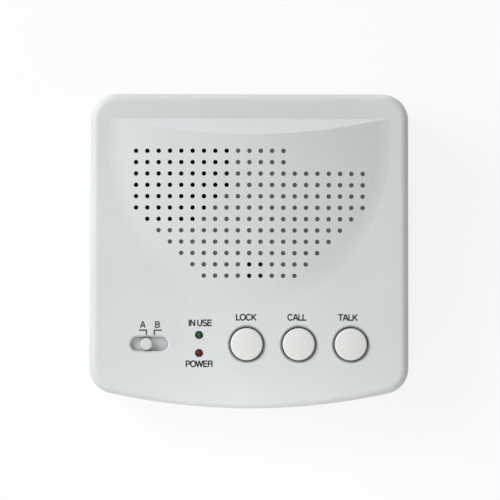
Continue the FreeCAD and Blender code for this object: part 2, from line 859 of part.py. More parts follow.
def levelled(name, inset, height, top):
    """The outline as a prism from a level plane above the table up to the seam."""
    body = shell_prism(name, inset, -BASE_DEPTH, top)
    reach = S.depth
    below = [(-reach, -2 * BASE_DEPTH), (reach, -2 * BASE_DEPTH), (reach, table_level(height, reach)),
             (-reach, table_level(height, -reach))]
    pocket = body.newObject("PartDesign::Pocket", f"{name}_level")
    pocket.Profile = outline_sketch(body, f"{name}_below", below, "YZ_Plane")
    pocket.Type = "ThroughAll"
    pocket.SideType = "Symmetric"
    doc.recompute()
    return body


def on_table_plane(edge, height):
    """Whether both ends of an edge lie on a level plane at a height above the table."""
    gaps = []
    for vertex in edge.Vertexes:
        level = table_level(height, as_size(vertex.Point.y)).value
        gaps.append(abs(vertex.Point.z - level))
    return max(gaps) < 1e-3


def tilt(thing):
    """Sets an intermediate object of the face frame on the table's frame."""
    node(thing.Label, thing)
    nodes.remove(thing)
    return thing


def foot_places():
    side_reach = HALF_WIDTH - S.foot_side_margin
    lines = (S.foot_front_margin - HALF_DEPTH, HALF_DEPTH - S.foot_rear_margin)
    return [(side * side_reach, y) for y in lines for side in (-1, 1)]


def base_structure():
    """What is moulded on the floor: screw tubes square to the face and level transformer plinths."""
    tubes = [rod(f"screw_tube_{number}", (x, y, -BASE_DEPTH), S.tube_radius, BASE_DEPTH)
             for number, (x, y) in enumerate(BOSS_PLACES)]
    floor = S.foot_proud + S.base_floor
    plinths = [rod(f"plinth_{number}", (x, CORE_Y, S.foot_proud), S.plinth_radius,
                   PLINTH_TOP - S.foot_proud) for number, x in enumerate(strap_screw_places())]
    low = floor - S.overrun
    plinths.append(block("core_plinth", (CORE_X, CORE_Y, low),
                         (S.core_width, S.core_stack, PLINTH_TOP - low)))
    return [tilt(together("screw_tubes", tubes))] + plinths


PLINTH_TOP = S.foot_proud + S.base_floor + S.plinth_height
# The mains inlet sits halfway between the floor and the lip, and the core ends under the panel
INLET_LEVEL = (table_level(S.foot_proud + S.base_floor, REAR_FACE - S.inlet_depth) - S.lip_depth) / 2
CORE_HEIGHT = (above_table(CORE_Y - S.core_stack / 2, UNDERSIDE) - PLINTH_TOP - S.strap_thick
               - S.core_clear)


def strap_screw_places():
    reach = S.core_width / 2 + S.strap_thick + S.strap_foot / 2
    return [CORE_X - reach, CORE_X + reach]


def base_holes():
    """Screw wells, the inlet's window, foot recesses, cooling slots and plinth screw holes."""
    wells = []
    for number, (x, y) in enumerate(BOSS_PLACES):
        low = (x, y, -BASE_DEPTH)
        wells.append(rod(f"screw_well_{number}", low, S.sink_radius, BASE_DEPTH - S.sink_roof))
        wells.append(rod(f"screw_hole_{number}", low, S.clear_hole, BASE_DEPTH + S.overrun))
    fit = 2 * S.inlet_fit
    wells.append(box("inlet_window",
                     (-S.inlet_place - S.inlet_width / 2 - S.inlet_fit, REAR_FACE - S.base_wall - S.overrun,
                      INLET_LEVEL - S.inlet_height / 2 - S.inlet_fit),
                     (S.inlet_width + fit, S.base_wall + 2 * S.overrun, S.inlet_height + fit)))
    holes = [tilt(together("tilted_holes", wells))]
    for number, (x, y) in enumerate(foot_places()):
        holes.append(rod(f"foot_recess_{number}", (x, y, S.foot_proud - S.overrun),
                         S.foot_radius + S.foot_fit, S.foot_recess + S.overrun))
    count = int(S.vent_count.value)
    for number in range(count):
        x = (number - (count - 1) / 2) * S.vent_pitch
        holes.append(block(f"vent_{number}", (x, S.vent_margin - HALF_DEPTH, S.foot_proud - S.overrun),
                           (S.vent_width, S.vent_length, S.base_floor + 2 * S.overrun)))
    for number, x in enumerate(strap_screw_places()):
        holes.append(rod(f"strap_hole_{number}", (x, CORE_Y, PLINTH_TOP - S.plinth_height),
                         S.thread_hole, S.plinth_height + S.overrun))
    return holes


def lower_shell():
    """The lower shell: a wedge-shaped tray with a lip that reaches up into the upper shell."""
    tray = levelled("tray_block", S.base_inset, S.foot_proud, -S.seam_gap)
    dressed(tray, "Fillet", S.base_round, lambda edge: on_table_plane(edge, S.foot_proud))
    inset = S.base_inset + S.base_wall
    floor = S.foot_proud + S.base_floor
    hollow = levelled("tray_hollow", inset, floor, S.overrun)
    room = cut("tray_room", tilt(hollow), [fused("base_structure", base_structure())])
    shell = cut("tray_shell", tilt(tray), [room])
    outer = S.side_wall + S.lip_gap
    lip_room = shell_prism("lip_inside", outer + S.lip_wall, -S.lip_depth - S.overrun,
                           S.lip_height + S.overrun)
    lip = cut("lip", shell_prism("lip_outside", outer, -S.lip_depth, S.lip_height), [lip_room])
    tops = [rod(f"tube_top_{number}", (x, y, -S.sink_roof), S.tube_radius, S.sink_roof)
            for number, (x, y) in enumerate(BOSS_PLACES)]
    joined = fused("tray_with_lip", [shell, tilt(lip), tilt(together("tube_tops", tops))])
    node("bottom_case", cut("tray", joined, base_holes()), tilted=False)


def feet():
    """Four rubber feet, rounded where they meet the table."""
    names = ["foot_front_left", "foot_front_right", "foot_rear_left", "foot_rear_right"]
    for name, (x, y) in zip(names, foot_places()):
        top = S.foot_proud + S.foot_recess
        foot = turned(f"{name}_body", [(0, 0), (S.foot_radius, 0), (S.foot_radius, top), (0, top)])
        dressed(foot, "Fillet", S.foot_round, lambda edge: at_height(edge, 0))
        node(name, foot, tilted=False, place=(x, y, 0))


def screw(name, seat, length):
    """A cross-head screw that points up from its seat."""
    x, y, z = seat
    head = rod(f"{name}_head", (x, y, z - S.head_height), S.head_radius, S.head_height)
    shank = rod(f"{name}_shank", seat, S.thread_radius, length)
    low = z - S.head_height - S.overrun
    depth = S.cross_depth + S.overrun
    slots = [block(f"{name}_slot", (x, y, low), (S.cross_length, S.cross_width, depth)),
             block(f"{name}_cross", (x, y, low), (S.cross_width, S.cross_length, depth))]
    return cut(name, fused(f"{name}_blank", [head, shank]), slots)


def screws():
    """The screws of the case, of the circuit board and of the speaker."""
    case = [screw(f"case_screw_{number}", (x, y, -S.sink_roof), S.sink_roof + S.thread_length)
            for number, (x, y) in enumerate(BOSS_PLACES)]
    node("case_screws", together("case_screw_group", case))
    board = [screw(f"board_screw_{number}", (x, y, S.board_base), S.board_thick + S.thread_length)
             for number, (x, y) in enumerate(POST_PLACES)]
    node("board_screws", together("board_screw_group", board))
    low = CLAMP_LEVEL - S.clamp_thick
    speaker = [screw(f"speaker_screw_{number}", (x, y, low), S.clamp_thick + S.clamp_thread)
               for number, (x, y) in enumerate(clamp_places())]
    node("speaker_screws", together("speaker_screw_group", speaker))
    washers = [tube(f"clamp_washer_{number}", (x, y, low), S.clamp_radius, S.thread_hole, S.clamp_thick)
               for number, (x, y) in enumerate(clamp_places())]
    node("speaker_clamp_washers", together("clamp_washer_group", washers))


BUTTON_EDGE = FACE + S.button_proud
BUTTON_ROOF = BUTTON_EDGE - S.button_roof
PLUNGER_TOP = BUTTON_ROOF - S.socket_stop
SWITCH_TOP = BOARD_TOP + S.switch_height


def button_cap(name, x):
    """A button's cap: a cup with a crowned top, a flange that holds it in, and a plunger socket."""
    radius = S.button_radius
    bore = S.plunger_radius + S.plunger_fit
    crown = S.button_crown - root(S.button_crown * S.button_crown - radius * radius)
    grip = PLUNGER_TOP - S.socket_grip
    inner = radius - S.button_wall
    flange_low = SLIDE_TOP - S.flange_thick
    outline = [(0, PLUNGER_TOP), (bore, PLUNGER_TOP), (bore, grip), (S.socket_radius, grip),
               (S.socket_radius, BUTTON_ROOF), (inner, BUTTON_ROOF), (inner, flange_low),
               (FLANGE_RADIUS, flange_low), (FLANGE_RADIUS, SLIDE_TOP), (radius, SLIDE_TOP),
               (radius, BUTTON_EDGE, S.button_crown), (0, BUTTON_EDGE + crown)]
    cap = turned(f"{name}_cap_body", outline)
    dressed(cap, "Fillet", S.button_round,
            lambda edge: at_height(edge, BUTTON_EDGE.value) and edge.BoundBox.XLength > radius.value)
    node(f"{name}_button_cap", cap, place=(x, CONTROL_LINE, 0))


def coil(name, radius, wire, turns, low, high):
    """A round-wire coil about its own axis, as one tube along quarter-turn pairs of arcs."""
    rise = (high - low) / turns / 4
    quarter = math.pi / 2
    slope = rise / quarter

    def spot(step):
        angle = step * quarter
        return Vector(radius * math.cos(angle), radius * math.sin(angle), low + step * rise)

    def heading(step):
        angle = step * quarter
        return Vector(-radius * math.sin(angle), radius * math.cos(angle), slope).normalize()

    def arc(start, way, end):
        chord = end - start
        apex = start + way * (chord.Length ** 2 / (2 * chord.dot(way)))
        weight = chord.Length / 2 / (apex - start).Length
        return Part.Arc(start, (start + apex * (2 * weight) + end) * (1 / (2 + 2 * weight)), end).toShape()

    path = []
    for step in range(int(turns * 4)):
        start, end = spot(step), spot(step + 1)
        first, last = heading(step), heading(step + 1)
        chord, both = end - start, first + last
        spread = 2 * (1 - first.dot(last))
        along = chord.dot(both)
        share = (math.sqrt(along * along + spread * chord.dot(chord)) - along) / spread
        joint = (start + end + (first - last) * share) * 0.5
        path += [arc(start, first, joint), arc(joint, joint_heading(start, first, joint), end)]
    line = Part.Wire(path)
    ring = Part.Wire([Part.makeCircle(wire / 2, spot(0), heading(0))])
    print(f"{name}: gap between turns {4 * rise - wire:.2f} mm")
    return line.makePipeShell([ring], True, False)


def joint_heading(start, way, end):
    """The direction in which an arc arrives that leaves its start in a given way."""
    chord = (end - start).normalize()
    return (chord * (2 * chord.dot(way)) - way).normalize()


def button(name, x):
    """One push button: cap, plunger, return spring and the switch on the board."""
    line = CONTROL_LINE
    place = (x, line, 0)
    button_cap(name, x)
    low = PLUNGER_TOP - S.plunger_length
    stem = [(0, low), (S.plunger_radius, low), (S.plunger_radius, PLUNGER_TOP), (0, PLUNGER_TOP)]
    node(f"{name}_plunger", turned(f"{name}_plunger_body", stem), place=place)
    spring = doc.addObject("Part::Feature", f"{name}_spring_coil")
    half = S.spring_wire.value / 2
    spring.Shape = coil(spring.Name, S.spring_radius.value, S.spring_wire.value, S.spring_turns.value,
                        SWITCH_TOP.value + half, BUTTON_ROOF.value - half)
    node(f"{name}_spring", spring, place=place)
    body = block(f"{name}_switch_block", (x, line, BOARD_TOP),
                 (S.switch_side, S.switch_side, S.switch_height))
    hole = rod(f"{name}_switch_hole", (x, line, BOARD_TOP + S.switch_floor),
               S.plunger_radius + S.plunger_gap, S.switch_height)
    node(f"{name}_switch_body", cut(f"{name}_switch", body, [hole]))


def selector():
    """The channel selector: a slide with a round knob, its lever and the slide switch under it."""
    line = CONTROL_LINE
    knob_top = FACE + S.knob_proud
    knob = turned("selector_knob", [(0, SLIDE_BOTTOM), (S.knob_radius, SLIDE_BOTTOM),
                                    (S.knob_radius, knob_top), (0, knob_top)])
    dressed(knob, "Fillet", S.knob_round, lambda edge: at_height(edge, knob_top.value))
    put(knob, (SLIDE_REST, line, 0))
    plate = block("selector_plate", (SLIDE_REST, line, SLIDE_BOTTOM),
                  (S.slide_length, S.slide_width, S.slide_thick))
    low = SLIDE_BOTTOM - S.slide_post_depth
    post = block("selector_post", (SLIDE_REST, line, low), (S.slide_post, S.slide_post, S.slide_post_depth))
    mouth = S.lever_side + 2 * S.lever_fit
    lever_top = SLIDE_BOTTOM - S.lever_stop
    socket = block("selector_socket", (SLIDE_REST, line, low - S.overrun),
                   (mouth, mouth, lever_top - low + S.overrun))
    node("selector_slider", cut("selector_slide", fused("selector_blank", [knob, plate, post]), [socket]))
    lever_low = lever_top - S.lever_length
    lever = block("selector_stem", (SLIDE_REST, line, lever_low),
                  (S.lever_side, S.lever_side, S.lever_length))
    node("selector_lever", together("selector_stem_group", [lever]))
    body = block("slide_switch_block", (SLIDE_MIDDLE, line, BOARD_TOP),
                 (S.slide_switch_length, S.slide_switch_width, S.slide_switch_height))
    gap = 2 * S.rail_gap
    floor = lever_low - S.rail_gap
    way = block("slide_switch_way", (SLIDE_MIDDLE, line, floor),
                (S.selector_travel + S.lever_side + gap, S.lever_side + gap, S.slide_switch_height))
    node("selector_switch_body", cut("slide_switch", body, [way]))


LAMP_BASE = SLIDE_TOP - S.lamp_flange_thick


def lamps():
    """The two lamps, their spacers on the board and their wire legs."""
    legs, spacers = [], []
    for name, y in lamp_places().items():
        top = FACE + S.lamp_proud
        outline = [(0, LAMP_BASE), (S.lamp_flange, LAMP_BASE), (S.lamp_flange, SLIDE_TOP),
                   (S.lamp_radius, SLIDE_TOP), (S.lamp_radius, top - S.lamp_radius, S.lamp_radius), (0, top)]
        node(f"{name}_lamp", turned(f"{name}_lamp_body", outline), place=(LAMP_X, y, 0))
        spacers.append(tube(f"{name}_spacer", (LAMP_X, y, BOARD_TOP), S.spacer_radius,
                            S.spacer_bore, LAMP_BASE - BOARD_TOP))
        low = S.board_base - S.pin_side
        for side in (-1, 1):
            x = side * S.pin_spacing + LAMP_X
            legs.append(block(f"{name}_leg_{side + 1}", (x, y, low),
                              (S.pin_side, S.pin_side, LAMP_BASE - low)))
    node("lamp_spacers", together("lamp_spacer_group", spacers))
    node("lamp_leads", together("lamp_lead_group", legs))


def circuit_board():
    """The board that hangs from the upper shell's posts."""
    outline = [(-BOARD_SIDE, BOARD_FRONT), (BOARD_SIDE, BOARD_FRONT), (BOARD_SIDE, BOARD_REAR),
               (-BOARD_SIDE, BOARD_REAR)]
    board = padded("board_blank", outline, S.board_base, S.board_thick)
    dressed(board, "Fillet", S.board_corner, upright)
    holes = [rod(f"board_hole_{number}", (x, y, S.board_base - S.overrun), S.clear_hole,
                 S.board_thick + 2 * S.overrun) for number, (x, y) in enumerate(POST_PLACES)]
    for name, y in lamp_places().items():
        for side in (-1, 1):
            spot = (side * S.pin_spacing + LAMP_X, y, S.board_base - S.overrun)
            holes.append(rod(f"{name}_leg_hole_{side + 1}", spot, S.pin_side,
                             S.board_thick + 2 * S.overrun))
    node("circuit_board", cut("board", board, holes))


def mains_inlet():
    """The inlet for a detachable mains lead, held in the rear wall by its inner flange."""
    x, z = -S.inlet_place, INLET_LEVEL
    rear = REAR_FACE

    def slab(name, width, height, start, depth):
        return box(name, (x - width / 2, start, z - height / 2), (width, depth, height))

    inside = rear - S.base_wall
    body = fused("inlet_blank", [
        slab("inlet_body", S.inlet_width, S.inlet_height, rear - S.inlet_depth, S.inlet_depth),
        slab("inlet_collar", S.inlet_width + 2 * S.inlet_flange, S.inlet_height + 2 * S.inlet_flange,
             inside - S.inlet_flange_thick, S.inlet_flange_thick)])
    floor = rear - S.outlet_depth
    radius = S.outlet_height / 2
    half = S.outlet_width / 2 - radius
    depth = S.outlet_depth + S.overrun
    tools = [slab("socket_middle", 2 * half, S.outlet_height, floor, depth)]
    prongs = []
    for side in (-1, 1):
        tools.append(rod(f"socket_end_{side + 1}", (x + side * half, floor, z), radius, depth, "y"))
        spot = x + side * S.prong_spread
        tools.append(rod(f"prong_hole_{side + 1}", (spot, rear - S.inlet_depth - S.overrun, z),
                         S.prong_radius + S.prong_fit, S.inlet_depth, "y"))
        low = rear - S.inlet_depth - S.prong_tail
        prongs.append(rod(f"prong_{side + 1}", (spot, low, z), S.prong_radius,
                          rear - S.prong_shy - low, "y"))
    node("mains_inlet_housing", cut("inlet", body, tools))
    node("mains_inlet_pins", together("inlet_pins", prongs))


FLANGE_LOW = CLAMP_LEVEL
FLANGE_HIGH = CLAMP_LEVEL + S.basket_sheet
BASKET_LOW = FLANGE_LOW - S.basket_depth
CONE_RADIUS = S.basket_mouth - S.surround_width
NECK = S.coil_radius + S.coil_wall
NECK_LEVEL = FLANGE_HIGH + S.cone_paper - S.cone_depth


def speaker_ring(label, inner, outer, low, high):
    """A flat ring of the speaker, about its axis."""
    ring = turned(f"{label}_body", [(inner, low), (outer, low), (outer, high), (inner, high)])
    node(label, ring, place=SPEAKER)


def arc_radius(half, rise):
    """Radius of an arc with half its chord and its rise."""
    return (half * half + rise * rise) / (2 * rise)


def speaker_basket():
    """The pressed basket: a flange, a cone-shaped wall with four windows, and a floor ring."""
    sheet = S.basket_sheet
    inside = BASKET_LOW + sheet
    outline = [(S.magnet_bore, BASKET_LOW), (S.basket_waist + sheet, BASKET_LOW),
               (S.basket_mouth + sheet, FLANGE_LOW), (S.speaker_radius, FLANGE_LOW),
               (S.speaker_radius, FLANGE_HIGH), (S.basket_mouth, FLANGE_HIGH), (S.basket_mouth, FLANGE_LOW),
               (S.basket_waist, inside), (S.magnet_bore, inside)]
    basket = turned("basket_blank", outline)
    windows = []
    for name, way in (("right", 1), ("left", -1)):
        window = doc.addObject("Part::Cylinder", f"basket_window_{name}")
        radius = S.basket_depth / 3
        reach = S.speaker_radius
        bind(window, Radius=radius, Height=2 * reach)
        turn = Rotation(Vector(0, 0, 1), Vector(way, 1, 0))
        back = reach / root(as_size(2))
        windows.append(put(window, (-way * back, -back, BASKET_LOW + S.basket_depth / 2), turn))
    node("speaker_frame", cut("basket", basket, windows), place=SPEAKER)


def speaker():
    """The loudspeaker under the mound, from its gasket down to the yoke."""
    speaker_ring("speaker_gasket", S.seat_radius, S.speaker_radius, FLANGE_HIGH, S.seat_base)
    speaker_basket()
    roll = arc_radius(S.surround_width / 2, S.surround_rise)
    land = S.seat_radius - S.ring_gap
    skin = FLANGE_HIGH + S.cone_paper
    node("speaker_surround", turned("surround_body", [
        (CONE_RADIUS, FLANGE_HIGH, -roll), (S.basket_mouth, FLANGE_HIGH), (land, FLANGE_HIGH), (land, skin),
        (S.basket_mouth, skin, roll), (CONE_RADIUS, skin)]), place=SPEAKER)
    node("speaker_cone", turned("cone_body", [
        (NECK, NECK_LEVEL - S.cone_paper), (CONE_RADIUS, FLANGE_HIGH), (CONE_RADIUS, skin),
        (NECK, NECK_LEVEL)]), place=SPEAKER)
    inner_rise = S.dome_rise - S.coil_wall
    top = NECK_LEVEL + S.dome_rise
    node("speaker_dust_cap", turned("dust_cap_body", [
        (S.coil_radius, NECK_LEVEL), (NECK, NECK_LEVEL, arc_radius(NECK, S.dome_rise)), (0, top),
        (0, top - S.coil_wall, -arc_radius(S.coil_radius, inner_rise))]), place=SPEAKER)
    plate_low = BASKET_LOW - S.plate_thick
    magnet_low = plate_low - S.magnet_thick
    speaker_ring("voice_coil", S.coil_radius, NECK, plate_low - S.coil_reach, NECK_LEVEL)
    speaker_ring("speaker_top_plate", NECK + S.coil_gap, S.plate_radius, plate_low, BASKET_LOW)
    speaker_ring("speaker_magnet", S.magnet_bore, S.magnet_radius, magnet_low, plate_low)
    pole = S.coil_radius - S.coil_gap
    yoke_low = magnet_low - S.yoke_thick
    node("speaker_yoke", turned("yoke_body", [
        (0, yoke_low), (S.yoke_radius, yoke_low), (S.yoke_radius, magnet_low), (pole, magnet_low),
        (pole, BASKET_LOW), (0, BASKET_LOW)]), place=SPEAKER)


def microphone():
    """The microphone capsule in its rubber boot."""
    place = (VOICE_X, VOICE_Y, 0)
    low = S.boot_top - S.boot_height
    top = S.boot_top - S.boot_roof
    mouth = S.capsule_radius / 2
    start = top - S.capsule_height
    node("microphone_boot", turned("boot_body", [
        (S.lead_spacing, low), (S.boot_radius, low), (S.boot_radius, S.boot_top), (mouth, S.boot_top),
        (mouth, top), (S.capsule_radius, top), (S.capsule_radius, start), (S.lead_spacing, start)]),
        place=place)
    node("microphone_capsule", turned("capsule_body", [
        (0, start), (S.capsule_radius, start), (S.capsule_radius, top), (0, top)]), place=place)


def transformer():
    """The mains transformer: a laminated core with two windows, its winding and its strap."""
    x, y = CORE_X, CORE_Y
    width, height, stack, limb = S.core_width, CORE_HEIGHT, S.core_stack, S.core_limb
    window = (width - 4 * limb) / 2
    low = PLINTH_TOP
    tall = height - 2 * limb
    openings = []
    for side in (-1, 1):
        centre = (x + side * (limb + window / 2), y, low + limb)
        openings.append(block(f"core_window_{side + 1}", centre, (window, stack + 2 * S.overrun, tall)))
    core = block("core_block", (x, y, low), (width, stack, height))
    node("transformer_core", cut("core", core, openings), tilted=False)
    clear = S.winding_clear
    start = low + limb + clear
    long = tall - 2 * clear
    outer = block("winding_block", (x, y, start),
                  (2 * (limb + window - clear), stack + 2 * (clear + S.winding_build), long))
    inner = block("winding_bore", (x, y, start - S.overrun),
                  (2 * (limb + clear), stack + 2 * clear, long + 2 * S.overrun))
    node("transformer_winding", cut("winding", outer, [inner]), tilted=False)
    thick, deep = S.strap_thick, S.strap_width
    pieces = [block("strap_top", (x, y, low + height), (width + 2 * thick, deep, thick))]
    reach = width / 2 + thick
    for side, spot in zip((-1, 1), strap_screw_places()):
        pieces.append(block(f"strap_side_{side + 1}", (x + side * (reach - thick / 2), y, low),
                            (thick, deep, height + thick)))
        pieces.append(block(f"strap_foot_{side + 1}", (spot, y, low), (S.strap_foot, deep, thick)))
    holes = [rod(f"strap_screw_hole_{number}", (spot, y, low - S.overrun), S.clear_hole,
                 thick + 2 * S.overrun) for number, spot in enumerate(strap_screw_places())]
    node("transformer_bracket", cut("strap", fused("strap_blank", pieces), holes), tilted=False)
    fasteners = []
    for number, spot in enumerate(strap_screw_places()):
        seat = low + thick
        head = rod(f"strap_screw_head_{number}", (spot, y, seat), S.head_radius, S.head_height)
        length = thick + S.plinth_height - S.overrun
        shank = rod(f"strap_screw_shank_{number}", (spot, y, seat - length), S.thread_radius, length)
        slot = block(f"strap_screw_slot_{number}", (spot, y, seat + S.head_height - S.cross_depth),
                     (S.cross_width, S.cross_length, S.cross_depth + S.overrun))
        blank = fused(f"strap_screw_blank_{number}", [head, shank])
        fasteners.append(cut(f"strap_screw_{number}", blank, [slot]))
    node("transformer_screws", together("strap_screws", fasteners), tilted=False)


def on_board(shares):
    """A place on the board from its shares."""
    across, back = shares
    return (across * BOARD_SIDE, BOARD_REAR - back * (BOARD_REAR - BOARD_FRONT))


def axial(name, spot, radius, length, reach):
    """A component with a wire at each end that bends down to the board."""
    x, y = spot
    level = BOARD_TOP + S.axial_lift
    pieces = [rod(f"{name}_body", (x, y - length / 2, level), radius, length, "y"),
              rod(f"{name}_wire", (x, y - reach, level), S.axial_wire, 2 * reach, "y")]
    for side in (-1, 1):
        pieces.append(rod(f"{name}_leg_{side + 1}", (x, y + side * reach, BOARD_TOP), S.axial_wire,
                          S.axial_lift + S.axial_wire))
    return fused(name, pieces)


def board_pieces():
    """The larger pieces on the board."""
    cans = []
    for number, shares in enumerate(CAN_SHARES):
        x, y = on_board(shares)
        top = BOARD_TOP + S.can_height
        can = block(f"can_block_{number}", (x, y, BOARD_TOP), (S.can_side, S.can_side, S.can_height))
        slug = rod(f"can_slug_{number}", (x, y, top - S.can_slug_depth), S.can_slug,
                   S.can_slug_depth + S.overrun)
        cans.append(cut(f"can_{number}", can, [slug]))
    node("rf_coil_cans", together("can_group", cans))
    tanks = []
    for number, shares in enumerate(TANK_SHARES):
        radius, groove, low = S.tank_radius, S.tank_groove, BOARD_TOP
        tank = turned(f"tank_{number}", [
            (0, low), (radius, low), (radius, low + 2 * groove), (radius - groove, low + 3 * groove),
            (radius, low + 4 * groove), (radius, low + S.tank_height), (0, low + S.tank_height)])
        tanks.append(put(tank, (*on_board(shares), 0)))
    node("electrolytic_capacitors", together("tank_group", tanks))
    x, y = on_board(FILM_SHARES)
    film = block("film_block", (x, y, BOARD_TOP), (S.film_length, S.film_width, S.film_height))
    node("film_capacitor", together("film_group", [film]))
    resistors, diodes = [], []
    x, y = on_board(RESISTOR_SHARES)
    for number in range(int(S.resistor_count.value)):
        spot = (x + number * S.resistor_pitch, y)
        resistors.append(axial(f"resistor_{number}", spot, S.resistor_radius, S.resistor_length,
                               S.resistor_reach))
    node("resistors", together("resistor_group", resistors))
    x, y = on_board(DIODE_SHARES)
    for number in range(int(S.diode_count.value)):
        spot = (x + number * S.resistor_pitch, y)
        diodes.append(axial(f"diode_{number}", spot, S.diode_radius, S.diode_length, S.diode_reach))
    node("rectifier_diodes", together("diode_group", diodes))


def amplifier_chip():
    """The amplifier: a long flat package on two rows of legs."""
    x, y = on_board(CHIP_SHARES)
    low = BOARD_TOP + S.chip_lift
    pieces = [block("chip_package", (x, y, low), (S.chip_length, S.chip_width, S.chip_height))]
    thick = (S.chip_leg_spread - S.chip_width) / 2
    count = int(S.chip_length.value / S.chip_pitch.value)
    for side in (-1, 1):
        row = y + side * (S.chip_leg_spread - thick) / 2
        for leg in range(count):
            spot = (x + (leg - (count - 1) / 2) * S.chip_pitch, row, BOARD_TOP)
            pieces.append(block(f"chip_leg_{leg}_{side + 1}", spot,
                                (S.chip_leg, thick, S.chip_lift + S.chip_height / 2)))
    node("audio_amplifier_chip", fused("chip", pieces))


def fuse_and_headers():
    """The fuse in its clips, and the headers for the loose leads."""
    x, y = on_board(FUSE_SHARES)
    level = BOARD_TOP + S.fuse_lift
    start = x - S.fuse_length / 2
    pieces = [rod("fuse_glass", (start, y, level), S.fuse_radius, S.fuse_length, "x"),
              rod("fuse_cap_left", (start, y, level), S.fuse_cap, S.fuse_cap_length, "x"),
              rod("fuse_cap_right", (start + S.fuse_length - S.fuse_cap_length, y, level), S.fuse_cap,
                  S.fuse_cap_length, "x")]
    node("fuse", fused("fuse_tube", pieces))
    clips = []
    inner = 2 * (S.fuse_cap + S.clip_fit)
    for side in (-1, 1):
        spot = x + side * (S.fuse_length - S.fuse_cap_length) / 2
        outer = block(f"clip_block_{side + 1}", (spot, y, BOARD_TOP),
                      (S.clip_width, inner + 2 * S.clip_thick, S.fuse_lift + S.fuse_cap / 2))
        room = block(f"clip_room_{side + 1}", (spot, y, BOARD_TOP + S.clip_thick),
                     (S.clip_width + 2 * S.overrun, inner, S.fuse_lift + S.fuse_cap))
        clips.append(cut(f"clip_{side + 1}", outer, [room]))
    node("fuse_clips", together("clip_group", clips))
    headers = []
    for number, share in enumerate(HEADER_SHARES):
        spot = (share * BOARD_SIDE, BOARD_REAR - S.header_width / 2, BOARD_TOP)
        headers.append(block(f"header_{number}", spot, (S.header_length, S.header_width, S.header_height)))
    node("board_headers", together("header_group", headers))


def lead(points, radius):
    """A wire as one tube: straight runs joined by arcs as large as the runs allow."""
    edges = []
    start = points[0]
    for before, corner, after in zip(points, points[1:], points[2:]):
        arriving, leaving = corner - before, after - corner
        turn = arriving.getAngle(leaving)
        set_back = BEND_SHARE * min(arriving.Length, leaving.Length)
        first = corner - arriving.normalize() * set_back
        last = corner + leaving.normalize() * set_back
        inwards = (leaving - arriving).normalize()
        bend = set_back / math.tan(turn / 2)
        middle = corner + inwards * (bend / math.cos(turn / 2) - bend)
        edges += [Part.makeLine(start, first), Part.Arc(first, middle, last).toShape()]
        start = last
    edges.append(Part.makeLine(start, points[-1]))
    path = Part.Wire(edges)
    ring = Part.Wire([Part.makeCircle(radius, points[0], points[1] - points[0])])
    tube_shape = path.makePipeShell([ring], True, False)
    share = tube_shape.Volume / (path.Length * math.pi * radius ** 2)
    print(f"lead: length {path.Length:.1f} mm, volume share {share:.3f}")
    return tube_shape


def lead_pair(label, route, first_gap, last_gap):
    """Two wires side by side along a route, the given gaps apart at its ends."""
    wires = []
    for side in (-1, 1):
        points = []
        for index, (x, y, z) in enumerate(route):
            share = min(max(index - 1, 0) / (len(route) - 3), 1)
            gap = first_gap.value * (1 - share) + last_gap.value * share
            points.append(Vector(x + side * gap / 2, y, z))
        wires.append(lead(points, S.lead_radius.value))
    pair = doc.addObject("Part::Feature", f"{label}_pair")
    pair.Shape = Part.makeCompound(wires)
    node(label, pair)


def loose_leads():
    """The wires between the board and what is screwed into the shells."""
    gap = S.lead_spacing
    lead_pair("speaker_leads", SPEAKER_ROUTE, gap, gap)
    lead_pair("microphone_leads", VOICE_ROUTE, gap, gap)
    lead_pair("mains_leads", MAINS_ROUTE, gap, 2 * S.prong_spread)
    lead_pair("transformer_leads", TRANSFORMER_ROUTE, gap, gap)


def write_parts():
    """Checks every object and writes each sub-part to its own file."""
    doc.recompute()
    faults = [thing.Name for thing in doc.Objects if {"Invalid", "Error"} & set(thing.State)]
    for thing in nodes:
        if thing.Shape.isNull() or not thing.Shape.isValid() or not thing.Shape.Solids:
            faults.append(thing.Label)
    if faults:
        raise RuntimeError(f"not built: {faults}")
    os.makedirs("parts", exist_ok=True)
    for thing in nodes:
        thing.Shape.exportStep(f"parts/{thing.Label}.step")
    print(f"{len(nodes)} sub-parts written")


upper_shell()
lower_shell()
feet()
screws()
for button_name, button_place in BUTTONS.items():
    button(button_name, button_place)
selector()
lamps()
circuit_board()
mains_inlet()
speaker()
microphone()
transformer()
board_pieces()
amplifier_chip()
fuse_and_headers()
loose_leads()
write_parts()
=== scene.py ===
"""Dresses a desk intercom: finishes, printed legends, and the light and camera around it."""

import json
import logging
import math
from dataclasses import dataclass, field
from enum import Enum
from typing import Any, Optional, Union

import bpy
from mathutils import Matrix, Vector
from mathutils.bvhtree import BVHTree

